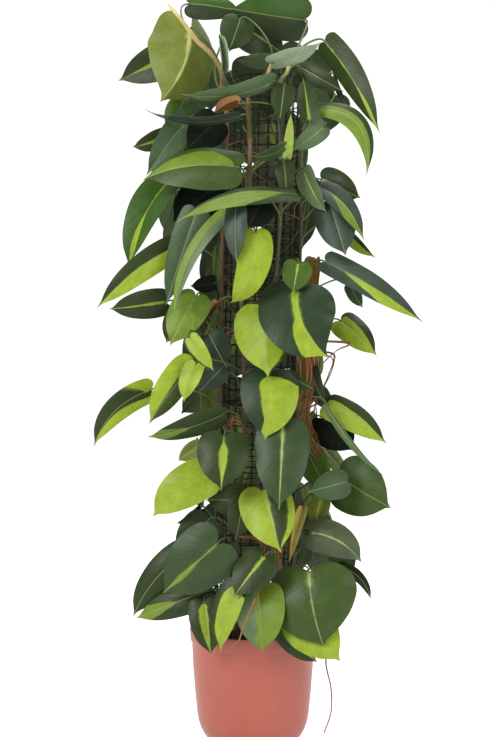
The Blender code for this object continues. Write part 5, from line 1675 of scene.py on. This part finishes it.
def vine_stems(vine, draw):
    """The stem and stalks of one vine as one piece."""
    bundle = Bundle()
    path = smooth_path(vine_path(vine), STEM_PATH_STEP)
    knots = [course[0] for _, owner, _, course in GROWN if owner == vine.name]
    thick = swollen(path, knots, PLAIN_STEM, NODE_SWELL, NODE_REACH)
    count = len(path) - 1

    def first_above(height):
        """The first point of the path above a height."""
        return next((i for i, spot in enumerate(path) if spot.z > height), count)

    def radius_from(start, stop):
        """The radius along the path from one of its points to another."""
        def radius(share):
            i = start + round(share * (stop - start))
            end = 1.0 if i < count - 1 else STEM_END
            woody = WOODY_STOUTER if path[i].z > WOODY_FROM else 1.0
            return thick[i] * stem_taper(i / count) * end * woody
        return radius

    split = first_above(vine.top)
    low = first_above(GREEN_FROM)
    high = max(low + 1, min(split, first_above(WOODY_FROM)) - 1)
    top = "bark" if vine.name in WOODY_VINES else "stem"
    pieces = [(0, low, "stem_low", "stem"), (low, high, "stem", top)]
    if vine.free_end and split < count:
        pieces += [(high, split, top, top), (split, count, top, "shoot")]
    else:
        pieces.append((high, count, top, top))
    for start, stop, first, last in pieces:
        bundle.add(path[start:stop + 1], radius_from(start, stop), STEM_SIDES, first, last)
    for name, owner, blade, course in GROWN:
        if owner == vine.name:
            tone = draw.choice(["stalk", "stalk", "stalk_dark"])
            stout = STOUT if name in STOUT_STALKS else 1.0
            bundle.add(stalk_path(blade, course), lambda share: stalk_radius(share) * stout,
                       STALK_SIDES, tone, "stalk")
    return bundle.finish("stems" + vine.name[4:], STEM, [vine.name])


for vine in VINES:
    piece = vine_stems(vine, draw)
    print(piece.name, len(piece.data.polygons), "faces")

# %% [markdown]
# ## Aerial roots
# At every node the vine sends out thin brown and orange roots that creep over the mesh, and some hang
# free. Hair strands would be quick but can't be exported as solid pieces. These are tubes whose
# paths wander over the column by a seeded rule, and each starts inside its own stem.

# %% Root material
def root_material():
    """A dull, grainy finish in the tones that the mesh holds."""
    made, tree, shader, where = new_material("aerial_root")
    speckle = speckle_on(tree, where, 90.0, 1200.0)
    colour = shaded(tree, value_of(tree, "tint", "Color"), speckle["Both"], 0.55, 1.40)
    rough = ramp(tree, speckle["Wide"], 0.3, 0.7, 0.62, 0.88)
    finish_material(tree, shader, colour, rough, speckle["Fine"], 0.5, 0.0005)
    return made


ROOT = root_material()
print("material", ROOT.name)

# %% Roots of every vine
CREEPERS_PER_VINE = 64
LONE_STRANDS = 2
HANGING_BELOW = 640
MM = 0.001
CREEP_FROM = 0.03
CREEP_UP_TO = 0.02
CREEP_DROP = (-0.35, 0.9)
CREEP_HOPS = (5, 12)
CREEP_DEGREES = (2.0, 6.5)
CREEP_FALL = (0.002, 0.010)
CREEP_AIR = 0.0016
CREEP_LIFT = (0.0, 0.005)
CREEP_END_AIR = 0.004
CREEPER_STEP = 0.004
CREEPER_SIZE = (0.00045, 0.0011)
CREEPER_THINS_BY = 0.7
STRAND_SIZE = (0.0006, 0.0013)
LONE_SIZE = (0.0013, 0.0017)
STRAND_STEP = 0.005
STRAND_THINS_BY = 0.6
ROOT_AT_STEM = 1.15
ROOT_THINS_BY = 0.6
STRAND_STRAY = 0.008
LONE_STRAY = 0.002
ROOT_SIDES = 7
THIN_ROOT_SIDES = 5
STRAND_BUNDLES = [
    ("vine_right_front", 18, 8, [(300, 342, 7.8), (306, 372, 9.0), (303, 402, 9.4), (302, 425, 9.4),
                                 (312, 446, 9.0), (326, 464, 8.2)]),
    ("vine_right_front", 12, 7, [(310, 345, 7.0), (313, 378, 8.0), (306, 412, 8.6), (314, 440, 8.4),
                                 (324, 456, 8.0)]),
    ("vine_right_front", 2, 1, [(330, 352, 8.0), (333, 362, 8.4), (329, 377, 8.4), (320, 392, 8.4),
                                (306, 410, 8.6)]),
    ("vine_right_front", 2, 1, [(350, 343, 8.0), (338, 351, 8.4), (322, 366, 8.4), (312, 380, 8.4)]),
    ("vine_front_left", 5, 5, [(230, 330, 7.4), (226, 342, 8.6), (234, 350, 8.4)]),
    ("vine_front_left", 5, 5, [(232, 420, 7.4), (227, 430, 8.4), (240, 436, 8.8), (252, 428, 8.6)]),
    ("vine_left_front", 6, 6, [(232, 498, 7.4), (224, 515, 8.2), (222, 538, 8.0)]),
    ("vine_front_right", 9, 7, [(284, 540, 8.4), (280, 556, 10.4), (285, 572, 11.0), (292, 580, 11.4)]),
    ("vine_front_left", 6, 6, [(262, 540, 8.6), (268, 560, 10.0), (276, 576, 10.8)]),
]


def creeping_root(draw, vine):
    """The path of a root that leaves a stem and creeps round the column."""
    height = draw.uniform(SOIL_TOP + CREEP_FROM, min(vine.top, COLUMN_TOP) - CREEP_UP_TO)
    start = min(along_path(vine_path(vine), CM), key=lambda spot: abs(spot.z - height))
    path = [start.copy()]
    degrees = vine.angle
    turn = draw.choice([-1, 1])
    drop = draw.uniform(*CREEP_DROP)
    reach = COLUMN_RADIUS + BAR / 2 + CREEP_AIR
    for _ in range(draw.randrange(*CREEP_HOPS)):
        degrees += turn * draw.uniform(*CREEP_DEGREES)
        height -= drop * draw.uniform(*CREEP_FALL)
        if height < SOIL_TOP + CREEP_END_AIR or height > COLUMN_TOP - CREEP_END_AIR:
            break
        path.append(column_centre(height) + outward(degrees) * (reach + draw.uniform(*CREEP_LIFT)))
    return path


def strand(draw, course, spread, stray_reach):
    """The path of one strand of a bundle that follows a course. spread is in millimetres."""
    offset = Vector((draw.uniform(-1, 1), draw.uniform(-0.6, 0.6), 0)) * spread * MM
    last = draw.randrange(max(2, len(course) - 1), len(course) + 1)
    path = [course[0]]
    for spot in course[1:last]:
        stray = Vector((draw.uniform(-1, 1), draw.uniform(-0.7, 0.7), draw.uniform(-1, 1)))
        path.append(spot + offset + stray * stray_reach)
    return path


def vine_roots(vine, draw):
    """The aerial roots of one vine as one piece."""
    bundle = Bundle()
    for name, thickness, places in ROOTS:
        if name == vine.name:
            course = smooth_path(root_corners(name, places), STEM_PATH_STEP)
            tone = "root_free" if places[-1][1] > HANGING_BELOW else "root"
            bundle.add(course,
                       lambda share: ROOT_RADIUS * thickness * (ROOT_AT_STEM - ROOT_THINS_BY * share),
                       ROOT_SIDES, tone)
    for _ in range(CREEPERS_PER_VINE):
        path = creeping_root(draw, vine)
        if len(path) > 2:
            size = draw.uniform(*CREEPER_SIZE)
            tone = draw.choice(["root_dark", "root_dark", "root", "root_pale"])
            bundle.add(smooth_path(path, CREEPER_STEP),
                       lambda share: size * (1 - CREEPER_THINS_BY * share),
                       THIN_ROOT_SIDES, tone, "root")
    for name, count, spread, places in STRAND_BUNDLES:
        if name == vine.name:
            course = root_corners(name, places)
            lone = count <= LONE_STRANDS
            for _ in range(count):
                size = draw.uniform(*(LONE_SIZE if lone else STRAND_SIZE))
                tone = draw.choice(["root_warm", "root", "root_warm", "root_pale"])
                path = strand(draw, course, spread, LONE_STRAY if lone else STRAND_STRAY)
                bundle.add(smooth_path(path, STRAND_STEP),
                           lambda share: size * (1 - STRAND_THINS_BY * share),
                           THIN_ROOT_SIDES, tone, "root")
    return bundle.finish("roots" + vine.name[4:], ROOT, [vine.name])


for vine in VINES:
    piece = vine_roots(vine, draw)
    print(piece.name, len(piece.data.polygons), "faces")

# %% [markdown]
# ## The climbing column
# The column is a tube of black plastic mesh that a grower fills with moss or leaves empty. A lattice
# picture on a cylinder would be flat at the crossings. Real strands cross in front of each other:
# round uprights inside and rings welded round them, so that is how it is made.

# %% Mesh plastic
MESH_BLACK = (0.008, 0.008, 0.006, 1.0)


def mesh_material():
    """Black plastic with a faint grain."""
    made, tree, shader, where = new_material("black_mesh")
    speckle = speckle_on(tree, where, 40.0, 900.0)
    colour = shaded(tree, MESH_BLACK, speckle["Both"], 0.6, 1.8)
    rough = ramp(tree, speckle["Both"], 0.3, 0.7, 0.45, 0.65)
    finish_material(tree, shader, colour, rough, speckle["Fine"], 0.3, 0.0004)
    shader.inputs["Specular IOR Level"].default_value = 0.2
    return made


MESH_PLASTIC = mesh_material()
print("material", MESH_PLASTIC.name)

# %% Strands of the column
FINE_UPRIGHTS = 3 * UPRIGHTS
FINE_RINGS = 6 * (RINGS - 1) + 1
STRAND = 0.0011
STRAND_SIDES = 6
AT_WELD = 1.5
BETWEEN_WELDS = 0.85
UPRIGHT_POINTS = 12
UPRIGHT_INSIDE = 0.0002
RING_OUTSIDE = 0.0001
LOWEST_RING = 0.012
BELOW_TOP = 0.003


def upright_strand(i):
    """The path of one upright strand, from the soil to the top."""
    way = outward(360 * (i + 0.5) / FINE_UPRIGHTS)
    heights = np.linspace(SOIL_TOP - COLUMN_IN_SOIL, COLUMN_TOP, UPRIGHT_POINTS)
    return [column_centre(height) + way * (COLUMN_RADIUS - UPRIGHT_INSIDE) for height in heights]


def ring_strand(height):
    """The path of one ring, closed."""
    centre = column_centre(height)
    return [centre + outward(360 * k / (2 * FINE_UPRIGHTS)) * (COLUMN_RADIUS + RING_OUTSIDE)
            for k in range(2 * FINE_UPRIGHTS)]


def closed_tube(path, radii, sides):
    """Points and faces of a tube round a level closed path."""
    points, faces = [], []
    count = len(path)
    for i, centre in enumerate(path):
        ahead = (path[(i + 1) % count] - path[i - 1]).normalized()
        up = Vector((0, 0, 1))
        side = ahead.cross(up).normalized()
        for k in range(sides):
            angle = 2 * math.pi * k / sides
            points.append(centre + (side * math.cos(angle) + up * math.sin(angle)) * radii[i])
    for i in range(count):
        for k in range(sides):
            m = (k + 1) % sides
            j = (i + 1) % count
            faces.append((i * sides + k, i * sides + m, j * sides + m, j * sides + k))
    return points, faces


def column_piece():
    """The mesh column as one piece."""
    points, faces = [], []

    def take(part):
        """Adds a tube to the piece."""
        start = len(points)
        points.extend(part[0])
        faces.extend(tuple(start + i for i in face) for face in part[1])

    for i in range(FINE_UPRIGHTS):
        take(tube_solid(upright_strand(i), lambda share: STRAND, STRAND_SIDES))
    low = SOIL_TOP + LOWEST_RING
    radii = [STRAND * (AT_WELD if k % 2 else BETWEEN_WELDS) for k in range(2 * FINE_UPRIGHTS)]
    for i in range(FINE_RINGS):
        height = low + (COLUMN_TOP - BELOW_TOP - low) * i / (FINE_RINGS - 1)
        take(closed_tube(ring_strand(height), radii, STRAND_SIDES))
    piece = new_piece("mesh_column", points, faces, MESH_PLASTIC)
    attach(piece, "root")
    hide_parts("climbing_column")
    return piece


column = column_piece()
print(column.name, len(column.data.polygons), "faces")

# %% [markdown]
# ## The pot
# A thin growing pot is blown or pressed from coloured plastic, so its wall has soft edges, a faint
# grain and a satin shine, and a band at the rim that makes it stiff. It could be a lathe shape with
# few steps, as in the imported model. This one has a fine profile that is turned in many steps.

# %% Pot plastic
TERRACOTTA = (0.42, 0.100, 0.064, 1.0)
DUSTY_TERRACOTTA = (0.48, 0.145, 0.10, 1.0)


def pot_material():
    """Coloured plastic with a satin shine, a fine grain and a little dust."""
    made, tree, shader, where = new_material("terracotta_plastic")
    speckle = speckle_on(tree, where, 9.0, 1500.0)
    colour = shaded(tree, TERRACOTTA, speckle["Wide"], 0.93, 1.06)
    dusty = ramp(tree, speckle["Fine"], 0.45, 0.8, 0.0, 0.25)
    colour = mixed(tree, dusty, colour, DUSTY_TERRACOTTA)
    rough = ramp(tree, speckle["Both"], 0.3, 0.7, 0.36, 0.50)
    finish_material(tree, shader, colour, rough, speckle["Fine"], 0.12, 0.0003)
    shader.inputs["Sheen Weight"].default_value = 0.35
    shader.inputs["Sheen Roughness"].default_value = 0.4
    return made


POT_PLASTIC = pot_material()
print("material", POT_PLASTIC.name)

# %% Turned shapes
FINE_STEPS = 128
HOLE_SIDES = 24
HOLE_ROD = 0.03
SLOT_SIZE = (0.008, 0.020, 0.006)
SLOT_INSIDE = 0.001
SAME_PLACE = 0.00002
POT_OUTSIDE = [(0.1188, 0.2150), (0.1196, 0.2147), (0.1200, 0.2139), (0.1199, 0.2080), (0.1190, 0.1990),
               (0.1185, 0.1930), (0.1181, 0.1922), (0.1168, 0.1915), (0.1163, 0.1905), (0.1160, 0.1870),
               (0.1142, 0.1450), (0.1122, 0.1200), (0.1102, 0.0950), (0.1063, 0.0570), (0.1044, 0.0450),
               (0.1025, 0.0380), (0.0992, 0.0280), (0.0943, 0.0190), (0.0876, 0.0095), (0.0832, 0.0030),
               (0.0812, 0.0008), (0.0800, 0.0)]
POT_INNER = [(0.0, 0.0072), (0.0780, 0.0072), (0.0848, 0.0105), (0.0905, 0.0165), (0.0950, 0.0240),
             (0.0990, 0.0345), (0.1038, 0.0560), (0.1118, 0.1430), (0.1138, 0.1890), (0.1150, 0.1905),
             (0.1164, 0.1940), (0.1172, 0.2050), (0.1176, 0.2141), (0.1180, 0.2148)]
POT_FOOT = [(0.0760, 0.0), (0.0748, 0.0012), (0.0740, 0.0050), (0.0385, 0.0050), (0.0372, 0.0012),
            (0.0360, 0.0), (0.0, 0.0)]


def turned_mesh(name, profile, steps):
    """A solid turned round the axis from a profile that begins and ends on it."""
    shape = bmesh.new()
    line = [shape.verts.new((r, 0.0, z)) for r, z in profile]
    for a, b in zip(line, line[1:]):
        shape.edges.new((a, b))
    bmesh.ops.spin(shape, geom=shape.verts[:] + shape.edges[:], axis=(0, 0, 1), cent=(0, 0, 0),
                   steps=steps, angle=2 * math.pi, use_merge=False)
    bmesh.ops.remove_doubles(shape, verts=shape.verts[:], dist=SAME_PLACE)
    bmesh.ops.recalc_face_normals(shape, faces=shape.faces[:])
    return mesh_of(name, shape)


def drain_cutters():
    """Rods and boxes where the pot's floor has holes and its foot has slots, as one object."""
    shape = bmesh.new()
    middle = 0.5 * (FOOT_RADIUS + BASE_DISC_RADIUS)
    for i in range(DRAIN_HOLES):
        spot = outward(360 * (i + 0.5) / DRAIN_HOLES) * middle
        made = bmesh.ops.create_cone(shape, cap_ends=True, segments=HOLE_SIDES,
                                     radius1=DRAIN_HOLE_RADIUS, radius2=DRAIN_HOLE_RADIUS,
                                     depth=HOLE_ROD)
        bmesh.ops.translate(shape, verts=made["verts"], vec=spot)
    for i in range(DRAIN_SLOTS):
        way = outward(360 * (i + 0.5) / DRAIN_SLOTS)
        made = bmesh.ops.create_cube(shape, size=1.0)
        bmesh.ops.scale(shape, verts=made["verts"], vec=SLOT_SIZE)
        turn = Vector((0, -1, 0)).rotation_difference(way).to_matrix()
        bmesh.ops.rotate(shape, verts=made["verts"], cent=(0, 0, 0), matrix=turn)
        bmesh.ops.translate(shape, verts=made["verts"], vec=way * (FOOT_RADIUS - SLOT_INSIDE))
    return add_object("drain_cutters", mesh_of("drain_cutters", shape))


# %% Turn the pot and cut its drain holes
def pot_piece():
    """The turned pot with its drain holes and slots."""
    profile = POT_INNER + POT_OUTSIDE + POT_FOOT
    piece = add_object("growing_pot", turned_mesh("growing_pot", profile, FINE_STEPS))
    cutters = drain_cutters()
    cut = piece.modifiers.new("drain", "BOOLEAN")
    cut.object = cutters
    cut.operation = "DIFFERENCE"
    cut.solver = "EXACT"
    state = bpy.context.evaluated_depsgraph_get()
    cut_mesh = bpy.data.meshes.new_from_object(piece.evaluated_get(state))
    piece.modifiers.clear()
    piece.data = cut_mesh
    bpy.data.objects.remove(cutters)
    cut_mesh.materials.clear()
    cut_mesh.materials.append(POT_PLASTIC)
    cut_mesh.shade_smooth()
    cut_mesh.set_sharp_from_angle(angle=math.radians(40))
    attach(piece, "root")
    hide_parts("pot")
    return piece


pot = pot_piece()
print(pot.name, len(pot.data.polygons), "faces")

# %% [markdown]
# ## The soil
# Potting soil is dark peat in crumbs with a few fibres. A bumped disc would stay smooth at its edge
# against the pot, so the top is raised into lumps and loose crumbs lie on it.

# %% Soil material
PEAT = (0.020, 0.013, 0.009, 1.0)


def soil_material():
    """Dark, dull and coarse in grain."""
    made, tree, shader, where = new_material("potting_soil")
    speckle = speckle_on(tree, where, 120.0, 900.0)
    colour = shaded(tree, PEAT, speckle["Both"], 0.4, 2.2)
    rough = ramp(tree, speckle["Wide"], 0.3, 0.7, 0.80, 1.0)
    finish_material(tree, shader, colour, rough, speckle["Both"], 0.8, 0.0015)
    return made


SOIL = soil_material()
print("material", SOIL.name)

# %% The body of soil and its crumbs
SOIL_RINGS = 46
SOIL_STEPS = 144
SOIL_EDGE = 0.1130
SOIL_SIDE = [(0.1105, 0.1400), (0.1028, 0.0560), (0.0980, 0.0350), (0.0895, 0.0172), (0.0770, 0.0079)]
CRUMBS = 420
CRUMB_SIZE = (0.0008, 0.0026)
CRUMB_SPREAD = (0.0, 0.97)
CRUMB_UNEVEN = (0.7, 1.25)
CRUMB_RISE = 0.25
WAVES = 14
WAVE_TURNS = (-700, 700)
WAVE_HEIGHT = (0.0001, 0.0004)
SOIL_SEED = 21
MIDDLE_RISE = 0.0005
EDGE_DROP = 0.0115
DROP_FROM = 0.05
DROP_RUN = 0.0636


def soil_height(waves, x, y):
    """The height of the soil's lumpy top."""
    out = math.hypot(x, y)
    level = SOIL_TOP + MIDDLE_RISE - EDGE_DROP * max(0.0, (out - DROP_FROM) / DROP_RUN)
    lumps = sum(size * math.sin(fx * x + fy * y + phase) for fx, fy, phase, size in waves)
    return level + lumps


def soil_piece():
    """The body of soil with its lumpy top, and the crumbs on it."""
    draw = random.Random(SOIL_SEED)
    waves = [(draw.uniform(*WAVE_TURNS), draw.uniform(*WAVE_TURNS), draw.uniform(*WAVE_PHASE),
              draw.uniform(*WAVE_HEIGHT)) for _ in range(WAVES)]
    shape = bmesh.new()
    centre = shape.verts.new((0, 0, soil_height(waves, 0, 0)))
    rings = []
    for i in range(1, SOIL_RINGS + 1):
        out = SOIL_EDGE * i / SOIL_RINGS
        ring = []
        for k in range(SOIL_STEPS):
            x, y, _ = outward(360 * k / SOIL_STEPS) * out
            ring.append(shape.verts.new((x, y, soil_height(waves, x, y))))
        rings.append(ring)
    for r, z in SOIL_SIDE:
        rings.append([shape.verts.new((*(outward(360 * k / SOIL_STEPS) * r).xy, z))
                      for k in range(SOIL_STEPS)])
    bottom = shape.verts.new((0, 0, SOIL_SIDE[-1][1]))
    for k in range(SOIL_STEPS):
        m = (k + 1) % SOIL_STEPS
        shape.faces.new((centre, rings[0][k], rings[0][m]))
        shape.faces.new((rings[-1][m], rings[-1][k], bottom))
        for a, b in zip(rings, rings[1:]):
            shape.faces.new((a[k], b[k], b[m], a[m]))
    for _ in range(CRUMBS):
        angle, out = draw.uniform(0, 360), SOIL_EDGE * math.sqrt(draw.uniform(*CRUMB_SPREAD))
        spot = outward(angle) * out
        size = draw.uniform(*CRUMB_SIZE)
        crumb = bmesh.ops.create_icosphere(shape, subdivisions=1, radius=size)
        for corner in crumb["verts"]:
            corner.co *= draw.uniform(*CRUMB_UNEVEN)
        spot.z = soil_height(waves, spot.x, spot.y) + size * CRUMB_RISE
        bmesh.ops.translate(shape, verts=crumb["verts"], vec=spot)
    bmesh.ops.recalc_face_normals(shape, faces=shape.faces[:])
    piece = add_object("soil_body", mesh_of("soil_body", shape, SOIL))
    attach(piece, "root")
    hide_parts("soil")
    return piece


soil = soil_piece()
print(soil.name, len(soil.data.polygons), "faces")

# %% [markdown]
# ## Floor and light
# The plant stands on a plain pale floor in a white room. One bright lamp would throw hard shadows of
# every leaf. Four large soft lamps, from the front left, the right, above and behind, with a white
# surrounding, give the even light of a product photograph and leave the inside of the plant dark.

# %% Floor
FLOOR_HALF = 14.0
FLOOR_GLOW = 0.60
PALE_GREY = (0.86, 0.86, 0.86, 1.0)


def floor_piece():
    """The floor, which glows a little for the camera alone."""
    made, tree, shader, where = new_material("pale_floor")
    speckle = speckle_on(tree, where, 2.0, 60.0)
    colour = shaded(tree, PALE_GREY, speckle["Both"], 0.985, 1.01)
    tree.links.new(colour, shader.inputs["Base Color"])
    seen = place(tree, "ShaderNodeLightPath").outputs["Is Camera Ray"]
    tree.links.new(colour, shader.inputs["Emission Color"])
    tree.links.new(maths(tree, "MULTIPLY", seen, FLOOR_GLOW), shader.inputs["Emission Strength"])
    shader.inputs["Roughness"].default_value = 0.75
    shape = bmesh.new()
    bmesh.ops.create_grid(shape, x_segments=2, y_segments=2, size=FLOOR_HALF)
    piece = add_object("floor", mesh_of("floor", shape, made))
    return piece


floor = floor_piece()
print(floor.name, 2 * FLOOR_HALF, "m wide")


# %% Lamps and the white surrounding
def soft_lamp(name, spot, aim, size, watts):
    """A square lamp that shines from a spot towards a point."""
    light = bpy.data.lights.new(name, "AREA")
    light.size = size
    light.energy = watts
    lamp = add_object(name, light)
    lamp.location = spot
    lamp.rotation_euler = (Vector(aim) - Vector(spot)).to_track_quat("-Z", "Y").to_euler()


MIDDLE = (0.0, 0.0, 0.7)
soft_lamp("key", (-1.9, -2.3, 2.3), MIDDLE, 1.6, 72)
soft_lamp("fill", (2.2, -2.0, 1.2), MIDDLE, 1.8, 26)
soft_lamp("top", (0.2, 0.3, 3.0), MIDDLE, 1.6, 34)
soft_lamp("back", (0.8, 2.8, 1.6), MIDDLE, 1.8, 24)
ROOM_SEEN = 1.1
ROOM_LIGHT = 0.62
room = bpy.data.worlds.new("white_room")
room.use_nodes = True
room_tree = room.node_tree
room_tree.nodes["Background"].inputs["Color"].default_value = (1.0, 1.0, 1.0, 1.0)
seen = place(room_tree, "ShaderNodeLightPath").outputs["Is Camera Ray"]
more = maths(room_tree, "MULTIPLY", seen, ROOM_SEEN - ROOM_LIGHT)
strength = maths(room_tree, "ADD", more, ROOM_LIGHT)
room_tree.links.new(strength, room_tree.nodes["Background"].inputs["Strength"])
bpy.context.scene.world = room
bpy.context.scene.view_settings.view_transform = "Standard"
print("4 lamps and a white surrounding")
